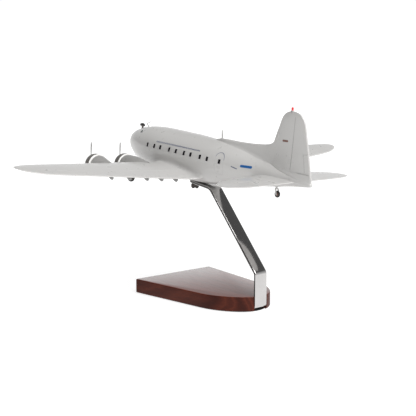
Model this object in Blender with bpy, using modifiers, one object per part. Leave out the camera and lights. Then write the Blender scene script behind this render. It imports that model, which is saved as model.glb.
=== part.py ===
"""Desktop airliner model: a four-engined, low-wing, tail-wheel airliner on a
polished metal arm that rises from a bullet-shaped wooden base.

Frame: +X towards the nose, +Y to port, +Z up, origin at the centre of the
underside of the felt pad.  Sizes below are millimetres; meshes are metres.
Aircraft pieces are drawn in the aircraft's own axes: s = distance aft of the
nose tip, y = to port, z = height above the fuselage datum line."""
import math

import bmesh
import bpy
import numpy as np
from mathutils import Matrix, Vector

# ---------------------------------------------------------------- dimensions
MM = 0.001
GAP = 0.3                       # clearance between neighbouring pieces

NOSE_AT = (168.8, 162.1)        # nose tip, x and z in the object's frame
PITCH_DEG = 2.71                # nose-up attitude on the stand

# fuselage: (station s, radius, centre height), circular sections
FUSELAGE = ((16.5, 0.0, 8.6), (17.5, 4.1, 8.4), (20.0, 8.0, 8.1), (23.0, 10.9, 7.7),
            (27.0, 13.5, 7.2), (35.0, 17.4, 6.2), (45.0, 20.9, 5.1), (58.0, 23.8, 4.0),
            (78.0, 26.0, 2.6), (98.0, 26.7, 1.5), (118.0, 26.5, 0.9), (140.0, 26.2, 0.2),
            (160.0, 25.3, -0.4), (180.0, 23.9, -0.6), (200.0, 21.7, -0.8), (220.0, 19.0, -1.3),
            (240.0, 15.5, -2.2), (258.0, 12.1, -3.4), (275.0, 8.7, -4.4), (292.0, 5.4, -5.1),
            (303.0, 3.3, -5.7), (311.0, 1.8, -6.1), (315.0, 0.0, -6.3))
FUSELAGE_SIDES = 28

# wing: straight leading and trailing edges, rounded tip
WING_TIP_Y = 226.4
WING_ROOT_Y = 12.0
WING_ROUND_Y = 193.0            # tip rounding starts here
WING_LE = (82.2, 0.1502)        # station at the centreline, change per mm of span
WING_TE = (166.7, -0.0741)
WING_LE_Z = (-15.1, 0.0785)
WING_TE_Z = (-21.1, 0.0905)
WING_T = (0.180, 0.110)         # thickness to chord, centreline and tip
WING_CAMBER = 0.022

# tailplane
TAIL_TIP_Y = 86.5
TAIL_ROUND_Y = 54.0
TAIL_LE = (242.5, 0.145)
TAIL_TE = 295.3
TAIL_Z = -5.7
TAIL_T = 0.085

# fin: (height, leading-edge station, trailing-edge station)
FIN = ((-7.0, 252.0, 315.4), (0.0, 254.0, 314.4), (5.0, 255.0, 313.3), (21.3, 257.6, 310.2),
       (31.0, 259.6, 308.1), (38.6, 262.4, 306.4), (49.0, 266.9, 304.0), (55.0, 269.5, 302.0),
       (58.5, 271.5, 299.6), (61.3, 274.2, 296.3), (63.2, 278.0, 292.0), (64.2, 282.0, 287.5))
FIN_T = 0.085
# dorsal fairing ahead of the fin: (station, top height, half width)
DORSAL = ((170.0, 24.6, 0.3), (176.0, 26.4, 1.2), (190.0, 26.4, 1.8), (208.0, 25.9, 2.1),
          (225.0, 26.0, 2.2), (242.0, 26.9, 2.2), (256.0, 28.6, 2.1), (266.0, 30.0, 1.8))

# engines: name, y, hub station, hub height
ENGINES = (("left_outer", 100.4, 75.1, -8.3), ("left_inner", 51.7, 60.7, -12.4),
           ("right_inner", -51.7, 60.7, -12.4), ("right_outer", -100.4, 75.1, -8.3))
COWL_R = 12.3
COWL_FRONT = 4.4                # cowl lip, aft of the propeller plane
COWL_LEN = 9.2
# nacelle behind the cowl: (distance aft of the propeller plane, radius)
NACELLE_OUTER = ((14.2, 11.2), (18.0, 10.9), (22.0, 9.9), (27.0, 8.5), (33.0, 7.0),
                 (40.0, 5.2), (48.0, 3.2), (55.0, 1.3), (58.0, 0.0))
NACELLE_INNER = ((14.2, 11.3), (18.0, 11.6), (28.0, 11.4), (38.0, 10.2), (47.0, 8.7),
                 (58.0, 6.6), (70.0, 4.2), (80.0, 1.9), (85.0, 0.0))
PROP_R = 24.3
SHAFT_R = 0.8
SHAFT_BORE_R = 1.06

# wheels
MAIN_WHEEL = (83.0, 51.7, -24.2, 6.6, 3.6)     # s, y, z, radius, width
TAIL_WHEEL = (267.8, -21.7, 3.6, 2.4)          # s, z, radius, width

# stand
STRAP_W = 16.6
STRAP_T = 3.0
PLATE_S = (130.5, 170.5)        # top plate under the belly
PLATE_Z = (-24.3, -28.2)        # its upper face, front and aft
PLATE_AT_SCREW = -24.8
STRAP_X = -75.2                 # outer face of the upright, object frame
STRAP_BEND_Z = 41.8             # outer corner of the lower bend
STRAP_FOOT_Z = 3.6              # underside of the foot
FOOT_LEN = 34.0
BEND_TOP = 12.0
BEND_LOW = 7.0
BEND_FOOT = 4.0

BASE_LEN = 151.5
BASE_HALF = 55.0
BASE_Z0 = 1.3
BASE_TOP = 17.0
FELT_T = 1.0

# ---------------------------------------------------------------- scene set-up
for _o in list(bpy.data.objects):
    bpy.data.objects.remove(_o, do_unlink=True)
for _c in list(bpy.data.collections):
    bpy.data.collections.remove(_c)
PARTS = bpy.data.collections.new("desktop_airliner_model")
CUTTERS = bpy.data.collections.new("cutters")
bpy.context.scene.collection.children.link(PARTS)
bpy.context.scene.collection.children.link(CUTTERS)

DATUM = bpy.data.objects.new("aircraft_datum", None)
PARTS.objects.link(DATUM)
DATUM.location = (NOSE_AT[0] * MM, 0.0, NOSE_AT[1] * MM)
DATUM.rotation_euler = (0.0, -math.radians(PITCH_DEG), 0.0)


def material(name, colour, rough, metal=0.0):
    m = bpy.data.materials.new(name)
    m.use_nodes = True
    b = m.node_tree.nodes["Principled BSDF"]
    b.inputs["Base Color"].default_value = (*colour, 1.0)
    b.inputs["Roughness"].default_value = rough
    b.inputs["Metallic"].default_value = metal
    m.diffuse_color = (*colour, 1.0)
    return m


PAINT = (0.57, 0.56, 0.54)


def paint(name):
    return material(name + "_paint", PAINT, 0.28)


def put(name, bm, mat, parent=None, loc=(0, 0, 0), rot=(0, 0, 0), cutter=False, smooth=32.0):
    """Make an object from a bmesh whose coordinates are millimetres."""
    bmesh.ops.scale(bm, vec=(MM, MM, MM), verts=bm.verts)
    bmesh.ops.recalc_face_normals(bm, faces=bm.faces)
    me = bpy.data.meshes.new(name)
    bm.to_mesh(me)
    bm.free()
    return put_mesh(name, me, mat, parent, loc, rot, cutter, smooth)


def put_mesh(name, me, mat, parent=None, loc=(0, 0, 0), rot=(0, 0, 0), cutter=False, smooth=32.0):
    if mat is not None and not me.materials:
        me.materials.append(mat)
    me.shade_smooth()
    me.set_sharp_from_angle(angle=math.radians(smooth))
    ob = bpy.data.objects.new(name, me)
    (CUTTERS if cutter else PARTS).objects.link(ob)
    ob.parent = parent
    ob.location = tuple(c * MM for c in loc)
    ob.rotation_euler = rot
    if cutter:
        ob.hide_render = True
        ob.display_type = "WIRE"
    return ob


def boolean(ob, tool, op="DIFFERENCE"):
    m = ob.modifiers.new(op.lower() + "_" + tool.name, "BOOLEAN")
    m.operation = op
    m.object = tool
    m.solver = "EXACT"
    return m


def bevel(ob, width, segments=2, angle=40.0):
    m = ob.modifiers.new("edge_round", "BEVEL")
    m.width = width * MM
    m.segments = segments
    m.limit_method = "ANGLE"
    m.angle_limit = math.radians(angle)
    m.use_clamp_overlap = True
    return m


def at(s, y, z):
    """Aircraft station, span and height as a point in the aircraft's axes, mm."""
    return Vector((-s, y, z))


# ---------------------------------------------------------------- shape helpers
def curve_through(table, x, column):
    """Monotone cubic through one column of a station table."""
    xs = [r[0] for r in table]
    ys = [r[column] for r in table]
    n = len(xs)
    h = [xs[i + 1] - xs[i] for i in range(n - 1)]
    d = [(ys[i + 1] - ys[i]) / h[i] for i in range(n - 1)]
    m = [d[0]] + [0.0 if d[i - 1] * d[i] <= 0 else
                  (h[i - 1] + h[i]) / (h[i - 1] / d[i] + h[i] / d[i - 1]) for i in range(1, n - 1)] + [d[-1]]
    x = min(max(x, xs[0]), xs[-1])
    i = min(max(int(np.searchsorted(xs, x, side="right")) - 1, 0), n - 2)
    t = (x - xs[i]) / h[i]
    return ((2 * t ** 3 - 3 * t * t + 1) * ys[i] + (t ** 3 - 2 * t * t + t) * h[i] * m[i]
            + (-2 * t ** 3 + 3 * t * t) * ys[i + 1] + (t ** 3 - t * t) * h[i] * m[i + 1])


def loft(rings):
    """Closed skin through rings of equal count; a one-point ring is a pole."""
    bm = bmesh.new()
    rows = [[bm.verts.new(p) for p in ring] for ring in rings]
    n = max(len(r) for r in rows)
    for a, b in zip(rows, rows[1:]):
        for i in range(n):
            j = (i + 1) % n
            if len(a) == 1:
                bm.faces.new((a[0], b[i], b[j]))
            elif len(b) == 1:
                bm.faces.new((a[i], a[j], b[0]))
            else:
                bm.faces.new((a[i], a[j], b[j], b[i]))
    for end in (rows[0], rows[-1]):
        if len(end) > 2:
            bm.faces.new(end)
    return bm


def turned(name, profile, sides, mat, parent=None, loc=(0, 0, 0), rot=(0, 0, 0), cutter=False):
    """Solid of revolution: profile of (radius, height) from top to bottom on
    the outer side, turned about local Z with a Screw modifier."""
    me = bpy.data.meshes.new(name)
    bm = bmesh.new()
    vs = [bm.verts.new((r * MM, 0.0, z * MM)) for r, z in profile]
    closed = profile[0][0] > 1e-6
    for a, b in zip(vs, vs[1:]):
        bm.edges.new((a, b))
    if closed:
        bm.edges.new((vs[-1], vs[0]))
    bm.to_mesh(me)
    bm.free()
    me.materials.append(mat)
    ob = bpy.data.objects.new(name, me)
    (CUTTERS if cutter else PARTS).objects.link(ob)
    ob.parent = parent
    ob.location = tuple(c * MM for c in loc)
    ob.rotation_euler = rot
    sc = ob.modifiers.new("turn", "SCREW")
    sc.angle = 2 * math.pi
    sc.steps = sides
    sc.render_steps = sides
    sc.use_merge_vertices = True
    sc.merge_threshold = 0.00001
    sc.use_smooth_shade = True
    sc.use_normal_calculate = False
    if cutter:
        ob.hide_render = True
        ob.display_type = "WIRE"
    return ob


def cylinder_bm(r, length, sides, matrix=Matrix()):
    bm = bmesh.new()
    bmesh.ops.create_cone(bm, cap_ends=True, cap_tris=False, segments=sides,
                          radius1=r, radius2=r, depth=length, matrix=matrix)
    return bm


def box_bm(sx, sy, sz, centre=(0, 0, 0)):
    bm = bmesh.new()
    bmesh.ops.create_cube(bm, size=1.0)
    bmesh.ops.scale(bm, vec=(sx, sy, sz), verts=bm.verts)
    bmesh.ops.translate(bm, vec=centre, verts=bm.verts)
    return bm


def section(chord_frac, t, camber):
    """Upper and lower ordinates of the aerofoil at a chord fraction."""
    x = chord_frac
    half = 5 * t * (0.2969 * math.sqrt(x) - 0.1260 * x - 0.3516 * x * x + 0.2843 * x ** 3 - 0.1036 * x ** 4)
    mid = 4 * camber * x * (1 - x)
    return mid + half, mid - half


def aerofoil_ring(le, te, t, camber, count, grow, edge, place):
    """Ring of points round an aerofoil; le and te are (station, height)."""
    chord = te[0] - le[0]
    pts = []
    fr = [0.5 * (1 - math.cos(math.pi * i / count)) for i in range(count + 1)]
    for side in (1, -1):
        seq = fr if side == 1 else fr[::-1]
        for k, f in enumerate(seq):
            if side == 1 and k == 0:
                continue                       # leading edge is closed by the lower side
            up, lo = section(f, t, camber)
            o = (up if side == 1 else lo) * chord + side * (edge * f + grow * (1 if 0 < f else 0))
            s = le[0] + f * chord
            s += grow * (-1 if f == 0 else (1 if f == 1 else 0))
            z = le[1] + f * (te[1] - le[1]) + o
            if f == 0:
                z = le[1]
            pts.append(place(s, z))
    return pts


# ---------------------------------------------------------------- fuselage
def fuselage_bm(grow, sides, steps=2):
    nose = FUSELAGE[0][0]
    stations = [nose]
    for a, b in zip(FUSELAGE, FUSELAGE[1:]):
        k = steps if a[0] < 27 and a[0] >= 1.0 else 1
        stations += [a[0] + (b[0] - a[0]) * (i + 1) / k for i in range(k)]
    rings = []
    for s in stations:
        r = curve_through(FUSELAGE, s, 1)
        c = curve_through(FUSELAGE, s, 2)
        if s == nose:
            rings.append([at(nose - grow, 0, c)])
        elif s >= FUSELAGE[-1][0]:
            rings.append([at(s + grow * 1.5, 0, c)])
        else:
            rr = r + grow * 1.02
            rings.append([at(s, rr * math.sin(2 * math.pi * (i + 0.5) / sides),
                             c + rr * math.cos(2 * math.pi * (i + 0.5) / sides)) for i in range(sides)])
    return loft(rings)


fuselage = put("fuselage", fuselage_bm(0.0, FUSELAGE_SIDES, 1), paint("fuselage"), DATUM)
fuselage_room = put("fuselage_room", fuselage_bm(GAP, FUSELAGE_SIDES, 1), None, DATUM, cutter=True)


# ---------------------------------------------------------------- wings
def wing_line(y):
    """Leading and trailing edge (station, height) and thickness at span y."""
    u = max(0.0, (y - WING_ROUND_Y) / (WING_TIP_Y - WING_ROUND_Y))
    keep = math.sqrt(max(0.0, 1 - u * u))
    le, te = WING_LE[0] + WING_LE[1] * y, WING_TE[0] + WING_TE[1] * y
    zl, zt = WING_LE_Z[0] + WING_LE_Z[1] * y, WING_TE_Z[0] + WING_TE_Z[1] * y
    mid, zm = le + 0.48 * (te - le), zl + 0.48 * (zt - zl)
    lift = 1.4 * u * u
    t = WING_T[0] + (WING_T[1] - WING_T[0]) * min(1.0, y / WING_TIP_Y)
    return ((mid + (le - mid) * keep, zm + (zl - zm) * keep + lift),
            (mid + (te - mid) * keep, zm + (zt - zm) * keep + lift), t)


def wing_bm(side, grow, count, ys):
    rings = []
    for y in ys:
        le, te, t = wing_line(y)
        rings.append(aerofoil_ring(le, te, t, WING_CAMBER, count, grow, 0.25,
                                   lambda s, z, y=y: at(s, side * y, z)))
    return loft(rings)


WING_YS = (WING_ROOT_Y, 40.0, 76.0, 118.0, 160.0, 193.0, 205.0, 214.0, 220.0, 224.0, 225.9)
for label, side in (("wing_left", 1), ("wing_right", -1)):
    w = put(label, wing_bm(side, 0.0, 10, WING_YS), paint(label), DATUM)
    boolean(w, fuselage_room)
wing_room = {s: put("wing_room_" + n, wing_bm(s, GAP, 10, (30.0, 40.0, 76.0, 118.0, 130.0)), None, DATUM,
                    cutter=True) for s, n in ((1, "left"), (-1, "right"))}

# two steel dowels tie the wing halves through the belly
DOWELS = (("front", 106.0, -16.8), ("rear", 126.0, -17.8))
bm = bmesh.new()
for n, s, z in DOWELS:
    place = Matrix.Translation(at(s, 0, z)) @ Matrix.Rotation(math.pi / 2, 4, "X")
    put("wing_dowel_" + n, cylinder_bm(1.8, 76.0, 12, place),
        material("wing_dowel_%s_steel" % n, (0.5, 0.5, 0.5), 0.35, 1.0), DATUM)
    bmesh.ops.create_cone(bm, cap_ends=True, segments=12, radius1=2.15, radius2=2.15, depth=77.0, matrix=place)
dowel_room = put("dowel_room", bm, None, DATUM, cutter=True)
for n in ("wing_left", "wing_right"):
    boolean(bpy.data.objects[n], dowel_room)
boolean(fuselage, dowel_room)


# ---------------------------------------------------------------- tailplane
def tail_bm(side):
    rings = []
    for y in (2.0, 20.0, 38.0, 54.0, 64.0, 73.0, 80.0, 84.2, 86.1):
        u = max(0.0, (y - TAIL_ROUND_Y) / (TAIL_TIP_Y - TAIL_ROUND_Y))
        keep = math.sqrt(1 - u * u)
        le, te = TAIL_LE[0] + TAIL_LE[1] * y, TAIL_TE
        mid = 281.0
        le, te = mid + (le - mid) * keep, mid + (te - mid) * keep
        rings.append(aerofoil_ring((le, TAIL_Z), (te, TAIL_Z), TAIL_T, 0.0, 7, 0.0, 0.25,
                                   lambda s, z, y=y: at(s, side * y, z)))
    return loft(rings)


TAIL_DOWEL = (268.0, -5.7)
tail_dowel_room = put("tail_dowel_room", cylinder_bm(1.1, 43.0, 10, Matrix.Translation(at(TAIL_DOWEL[0], 0, TAIL_DOWEL[1]))
                      @ Matrix.Rotation(math.pi / 2, 4, "X")), None, DATUM, cutter=True)
for label, side in (("tailplane_left", 1), ("tailplane_right", -1)):
    w = put(label, tail_bm(side), paint(label), DATUM)
    boolean(w, fuselage_room)
    boolean(w, tail_dowel_room)
boolean(fuselage, tail_dowel_room)
put("tail_dowel", cylinder_bm(0.78, 42.0, 10, Matrix.Translation(at(TAIL_DOWEL[0], 0, TAIL_DOWEL[1]))
    @ Matrix.Rotation(math.pi / 2, 4, "X")), material("tail_dowel_steel", (0.5, 0.5, 0.5), 0.35, 1.0), DATUM)

# ---------------------------------------------------------------- fin and dorsal fairing
fin_rings = []
for z, le, te in FIN:
    thick = FIN_T * (1.0 if z < 60 else 0.8)
    fin_rings.append(aerofoil_ring((le, 0.0), (te, 0.0), thick, 0.0, 8, 0.0, 0.3,
                                   lambda s, o, z=z: at(s, o, z)))
fin = put("fin", loft(fin_rings), paint("fin"), DATUM)
dorsal_rings = []
for s, top, w in DORSAL:
    foot = curve_through(FUSELAGE, s, 2) + curve_through(FUSELAGE, s, 1) - 3.5
    ring = [at(s, -w * 1.9, foot)]
    for k in range(7):
        a = math.pi * k / 6
        ring.append(at(s, -w * math.cos(a), top - w + w * math.sin(a)))
    ring.append(at(s, w * 1.9, foot))
    dorsal_rings.append(ring)
dorsal = put("dorsal_tool", loft(dorsal_rings), None, DATUM, cutter=True)
boolean(fin, dorsal, "UNION")
boolean(fin, fuselage_room)

# ---------------------------------------------------------------- nacelles, cowls, engines, propellers
def prop_mesh():
    """Three thin twisted blades around a hub, about local Z = shaft axis."""
    rings_all = []
    for k in range(3):
        rings = []
        for r, chord, pitch, t in ((1.2, 1.9, 70, 1.3), (4.0, 2.3, 58, 0.9), (9.5, 3.1, 43, 0.65),
                                   (19.0, 2.8, 27, 0.5), (23.2, 1.9, 22, 0.45), (PROP_R, 0.8, 21, 0.4)):
            a = math.radians(pitch)
            ring = []
            for u, v in ((-0.5, 0.0), (-0.1, 0.5), (0.5, 0.1), (0.5, -0.1), (-0.1, -0.5)):
                cx, cz = u * chord, v * t
                ring.append(Vector((r, cx * math.cos(a) - cz * math.sin(a), cx * math.sin(a) + cz * math.cos(a))))
            rot = Matrix.Rotation(2 * math.pi * k / 3, 4, "Z")
            rings.append([rot @ p for p in ring])
        rings_all.append(rings)
    return rings_all


def prop_tool(name, k, rings, parent, loc, rot):
    return put(name, loft(rings), None, parent, loc, rot, cutter=True)


steel = (0.42, 0.42, 0.42)
for label, ey, es, ez in ENGINES:
    side = 1 if ey > 0 else -1
    hub = at(es, ey, ez)
    # local +Z of the turned pieces points to the nose
    fwd = (0.0, math.pi / 2, 0.0)
    nac = NACELLE_INNER if "inner" in label else NACELLE_OUTER
    prof = [(0.0, -nac[0][0])] + [(r, -d) for d, r in nac[:-1]] + [(0.0, -nac[-1][0])]
    n_ob = turned("nacelle_" + label, prof, 18, paint("nacelle_" + label), DATUM, hub, fwd)
    boolean(n_ob, wing_room[side])
    # cowl: ring with a rounded lip, open at both ends
    f, b = -COWL_FRONT, -(COWL_FRONT + COWL_LEN)
    cowl = [(10.2, f), (11.2, f - 0.2), (12.0, f - 1.8), (COWL_R, f - 4.0), (COWL_R, b),
            (COWL_R - 1.0, b), (COWL_R - 1.1, f - 4.0), (10.0, f - 1.4)]
    turned("cowl_" + label, cowl, 20, material("cowl_%s_paint" % label, (0.40, 0.40, 0.39), 0.3), DATUM, hub, fwd)
    # radial engine: crankcase nose with nine cylinder heads round it
    ring_out, ring_n = [], 27
    for i in range(ring_n):
        a = 2 * math.pi * (i + 0.5) / ring_n
        ring_out.append((9.8 if (i % 3) in (0, 1) else 5.6, a))
    front, back = -(COWL_FRONT + 3.3), -(COWL_FRONT + 7.6)
    rings = [[Vector((r * math.cos(a), r * math.sin(a), h)) for r, a in ring_out] for h in (front, back)]
    eng = put("engine_" + label, loft(rings), material("engine_%s_metal" % label, (0.16, 0.16, 0.17), 0.5, 0.8),
              DATUM, hub, fwd)
    case = turned("crankcase_tool_" + label, [(0.0, -1.9), (2.2, -2.0), (3.6, -3.2), (4.2, -5.0), (5.3, -8.5),
                                              (5.3, -13.4), (0.0, -13.4)], 12, eng.data.materials[0], DATUM, hub, fwd,
                  cutter=True)
    boolean(eng, case, "UNION")
    bore = put("shaft_room_" + label, cylinder_bm(SHAFT_BORE_R, 30.0, 12, Matrix.Translation((0, 0, -9.0))), None,
               DATUM, hub, fwd, cutter=True)
    boolean(eng, bore)
    boolean(n_ob, bore)
    put("prop_shaft_" + label, cylinder_bm(SHAFT_R, 22.6, 12, Matrix.Translation((0, 0, -9.9))),
        material("shaft_%s_steel" % label, (0.55, 0.55, 0.55), 0.3, 1.0), DATUM, hub, fwd)
    # propeller: bored hub joined to three blades, one blade upright
    prop = turned("propeller_" + label, [(SHAFT_BORE_R, 1.1), (1.9, 1.1), (2.3, 0.7), (2.3, -0.9), (1.9, -1.3),
                                         (SHAFT_BORE_R, -1.3)], 12,
                  material("propeller_%s_metal" % label, (0.45, 0.45, 0.45), 0.3, 0.9), DATUM, hub, fwd)
    # one blade points straight up on the left engines and straight down on the right ones
    for k, rings in enumerate(prop_mesh()):
        half = Matrix.Rotation(math.pi if side > 0 else 0.0, 4, "Z")
        blade = put("blade_tool_%s_%d" % (label, k), loft([[half @ p for p in r] for r in rings]), None, DATUM,
                    hub, fwd, cutter=True)
        boolean(prop, blade, "UNION")
    keep_bore = put("prop_bore_" + label, cylinder_bm(SHAFT_BORE_R, 8.0, 12), None, DATUM, hub, fwd, cutter=True)
    boolean(prop, keep_bore)
    # hub cap in front of the propeller, turning with it, with a blind bore over the shaft end
    turned("hub_cap_" + label, [(0.0, 3.85), (0.5, 3.75), (1.2, 3.3), (1.75, 2.4), (1.9, 1.4), (SHAFT_BORE_R, 1.4),
            (SHAFT_BORE_R, 2.2), (0.0, 2.2)], 12,
           material("hub_cap_%s_metal" % label, (0.5, 0.5, 0.5), 0.25, 0.9), DATUM, hub, fwd)

# ---------------------------------------------------------------- main wheels
ws, wy, wz, wr, ww = MAIN_WHEEL
for n, side in (("left", 1), ("right", -1)):
    hubp = at(ws, side * wy, wz)
    across = (math.pi / 2, 0.0, 0.0)
    tyre_prof = [(0.7, ww / 2 - 0.4), (2.9, ww / 2 - 0.4), (3.4, ww / 2), (wr - 1.3, ww / 2), (wr - 0.4, ww / 2 - 0.6),
                 (wr, 0.0), (wr - 0.4, -(ww / 2 - 0.6)), (wr - 1.3, -ww / 2), (3.4, -ww / 2),
                 (2.9, -(ww / 2 - 0.4)), (0.7, -(ww / 2 - 0.4))]
    turned("main_wheel_" + n, tyre_prof, 20, material("main_wheel_%s_rubber" % n, (0.035, 0.03, 0.028), 0.6), DATUM,
           hubp, across)
    put("main_axle_" + n, cylinder_bm(0.45, 2 * (ww / 2 + 2.2), 10), material("main_axle_%s_steel" % n, (0.5, 0.5, 0.5),
        0.35, 1.0), DATUM, hubp, across)
    well = put("wheel_room_" + n, cylinder_bm(wr + 0.7, ww + 1.4, 20), None, DATUM, hubp, across, cutter=True)
    nac = bpy.data.objects["nacelle_%s_inner" % n]
    boolean(nac, well)
    slot = put("axle_room_" + n, cylinder_bm(0.78, 2 * (ww / 2 + 2.6), 10), None, DATUM, hubp, across, cutter=True)
    boolean(nac, slot)

# ---------------------------------------------------------------- tail wheel
ts, tz, tr, tw = TAIL_WHEEL
hubt = at(ts, 0, tz)
across = (math.pi / 2, 0.0, 0.0)
turned("tail_wheel", [(0.6, tw / 2 - 0.3), (tr - 1.0, tw / 2), (tr - 0.25, tw / 2 - 0.5), (tr, 0.0),
                      (tr - 0.25, -(tw / 2 - 0.5)), (tr - 1.0, -tw / 2), (0.6, -(tw / 2 - 0.3))], 16,
       material("tail_wheel_rubber", (0.035, 0.03, 0.028), 0.6), DATUM, hubt, across)
put("tail_axle", cylinder_bm(0.4, tw + 3.6, 10), material("tail_axle_steel", (0.5, 0.5, 0.5), 0.35, 1.0), DATUM,
    hubt, across)
# fork: two legs, a crown and a leg up into the tail cone
fork = put("tail_fork", box_bm(2.6, 5.0, 1.6, at(ts - 1.0, 0, tz + tr + 1.5)), paint("tail_fork"), DATUM)
for y in (-2.0, 2.0):
    bm = bmesh.new()
    bmesh.ops.create_cube(bm, size=1.0)
    for v in bm.verts:
        low = v.co.z < 0
        v.co = at(ts + (-0.2 if low else -1.0) + v.co.x * (1.9 if low else 2.5), y + v.co.y * 0.9,
                  (tz - 1.1) if low else (tz + tr + 1.6))
    leg = put("fork_leg_tool_%s" % ("a" if y < 0 else "b"), bm, None, DATUM, cutter=True)
    boolean(fork, leg, "UNION")
TAIL_LEG = (264.6, 1.25)
post = put("fork_post_tool", cylinder_bm(TAIL_LEG[1], 9.0, 12, Matrix.Translation(at(ts - 1.6, 0, tz + tr + 5.0))),
           None, DATUM, cutter=True)
boolean(fork, post, "UNION")
axle_bore = put("tail_axle_room", cylinder_bm(0.7, 9.0, 10), None, DATUM, hubt, across, cutter=True)
boolean(fork, axle_bore)
post_room = put("fork_post_room", cylinder_bm(TAIL_LEG[1] + GAP, 9.6, 12, Matrix.Translation(at(ts - 1.6, 0, tz + tr + 5.0))),
                None, DATUM, cutter=True)
boolean(fuselage, post_room)

# ---------------------------------------------------------------- aerials, pitot, beacon
# direction-finding loop housing: a turned teardrop on a short neck
DF_S, DF_Z = 33.0, 27.2
top_nose = curve_through(FUSELAGE, DF_S, 1) + curve_through(FUSELAGE, DF_S, 2)
df = turned("loop_housing", [(0.0, 4.7), (0.9, 4.4), (1.7, 3.2), (2.1, 1.4), (2.15, -0.4), (1.85, -2.2),
                             (1.2, -3.8), (0.6, -4.5), (0.0, -4.7)], 14,
            material("loop_housing_black", (0.03, 0.03, 0.032), 0.3), DATUM, at(DF_S, 0, DF_Z), (0.0, math.pi / 2, 0.0))
put("loop_pedestal", cylinder_bm(0.95, 6.3, 12), material("loop_pedestal_black", (0.04, 0.04, 0.042), 0.35), DATUM,
    at(DF_S, 0, top_nose + 0.25))
ped_room = put("pedestal_room", cylinder_bm(0.95 + GAP, 6.9, 12), None, DATUM, at(DF_S, 0, top_nose + 0.25), cutter=True)
boolean(fuselage, ped_room)
boolean(df, ped_room)


def mast(name, s_foot, s_top, z_top, chord_foot, chord_top, thick):
    """Tapered blade mast whose foot is let into the fuselage top."""
    z_foot = curve_through(FUSELAGE, s_foot, 1) + curve_through(FUSELAGE, s_foot, 2) - 2.5
    rings = []
    rooms = []
    for z, s, c in ((z_foot, s_foot, chord_foot), (z_top, s_top, chord_top)):
        for out, g in ((rings, 0.0), (rooms, GAP)):
            zz = z - g if z == z_foot else z + g
            out.append([at(s + c * u + (g if u > 0 else -g), thick * v + (g if v > 0 else -g if v < 0 else 0), zz)
                        for u, v in ((-0.5, 0.0), (-0.2, 0.5), (0.5, 0.12), (0.5, -0.12), (-0.2, -0.5))])
    ob = put(name, loft(rings), paint(name), DATUM)
    room = put(name + "_room", loft(rooms), None, DATUM, cutter=True)
    boolean(fuselage, room)
    return ob


mast("aerial_mast_front", 46.5, 41.6, 29.6, 2.2, 1.4, 0.95)
mast_mid = mast("aerial_mast_mid", 179.5, 178.6, 35.4, 3.0, 2.0, 1.1)
boolean(fin, bpy.data.objects["aerial_mast_mid_room"])

# pitot tube: a bent tube under the nose
cu = bpy.data.curves.new("pitot_tube", "CURVE")
cu.dimensions = "3D"
cu.bevel_depth = 0.55 * MM
cu.bevel_resolution = 1
cu.use_fill_caps = True
sp = cu.splines.new("POLY")
pit = [(27.6, 0.0, -4.5), (27.4, 0.0, -9.2), (26.8, 0.0, -10.4), (25.6, 0.0, -10.8), (18.0, 0.0, -10.6)]
sp.points.add(len(pit) - 1)
for p, q in zip(sp.points, pit):
    p.co = (*(at(*q) * MM), 1.0)
tmp = bpy.data.objects.new("pitot_curve", cu)
CUTTERS.objects.link(tmp)
bpy.context.view_layer.update()
me = bpy.data.meshes.new_from_object(tmp.evaluated_get(bpy.context.evaluated_depsgraph_get()))
bpy.data.objects.remove(tmp, do_unlink=True)
bm = bmesh.new()
bm.from_mesh(me)
bmesh.ops.remove_doubles(bm, verts=bm.verts, dist=0.00001)
bmesh.ops.scale(bm, vec=(1000, 1000, 1000), verts=bm.verts)
bpy.data.meshes.remove(me)
put("pitot_tube", bm, material("pitot_metal", (0.4, 0.4, 0.4), 0.3, 1.0), DATUM)
pitot_room = put("pitot_room", cylinder_bm(0.95, 8.0, 10, Matrix.Translation(at(27.6, 0.0, -4.5 + GAP - 4.0))), None,
                 DATUM, cutter=True)
boolean(fuselage, pitot_room)

# beacon: a domed red lens on top of the fin
turned("beacon_lens", [(0.0, 68.4), (0.7, 68.2), (1.15, 67.4), (1.2, 66.4), (1.2, 64.6), (0.0, 64.6)], 16,
       material("beacon_red", (0.55, 0.02, 0.015), 0.2), DATUM, at(283.8, 0, 0))

# ---------------------------------------------------------------- flap and aileron hinge fairings
# small moulded fins under each trailing edge, one piece with the wing
for n, side in (("left", 1), ("right", -1)):
    for k, y in enumerate((47.0, 65.4, 83.6, 105.0, 126.5)):
        le, te, t = wing_line(y)
        chord = te[0] - le[0]

        def skin(f):
            return le[1] + f * (te[1] - le[1]) + section(f, t, WING_CAMBER)[1] * chord - 0.25 * f
        s0, s1 = te[0] - 9.5, te[0] - 1.2
        top0, top1 = skin((s0 - le[0]) / chord) + 0.45, skin((s1 - le[0]) / chord) + 0.2
        ring = [(s0, top0 - 0.6), (s0, top0), (s1, top1), (s1, top1 - 0.6), (te[0] - 3.0, te[1] - 3.2)]
        bm = bmesh.new()
        vs = [[bm.verts.new(at(s, side * (y + dy), z)) for s, z in ring] for dy in (-0.75, 0.75)]
        bm.faces.new(vs[0])
        bm.faces.new(vs[1][::-1])
        for i in range(len(ring)):
            j = (i + 1) % len(ring)
            bm.faces.new((vs[0][i], vs[0][j], vs[1][j], vs[1][i]))
        tool = put("hinge_fairing_tool_%s_%d" % (n, k), bm, None, DATUM, cutter=True)
        boolean(bpy.data.objects["wing_" + n], tool, "UNION")

# ---------------------------------------------------------------- stand arm
ct, st = math.cos(math.radians(PITCH_DEG)), math.sin(math.radians(PITCH_DEG))


def to_object(s, z):
    """Aircraft station and height to the object's x and z, mm."""
    return (-s * ct - z * st + NOSE_AT[0], -s * st + z * ct + NOSE_AT[1])


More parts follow.
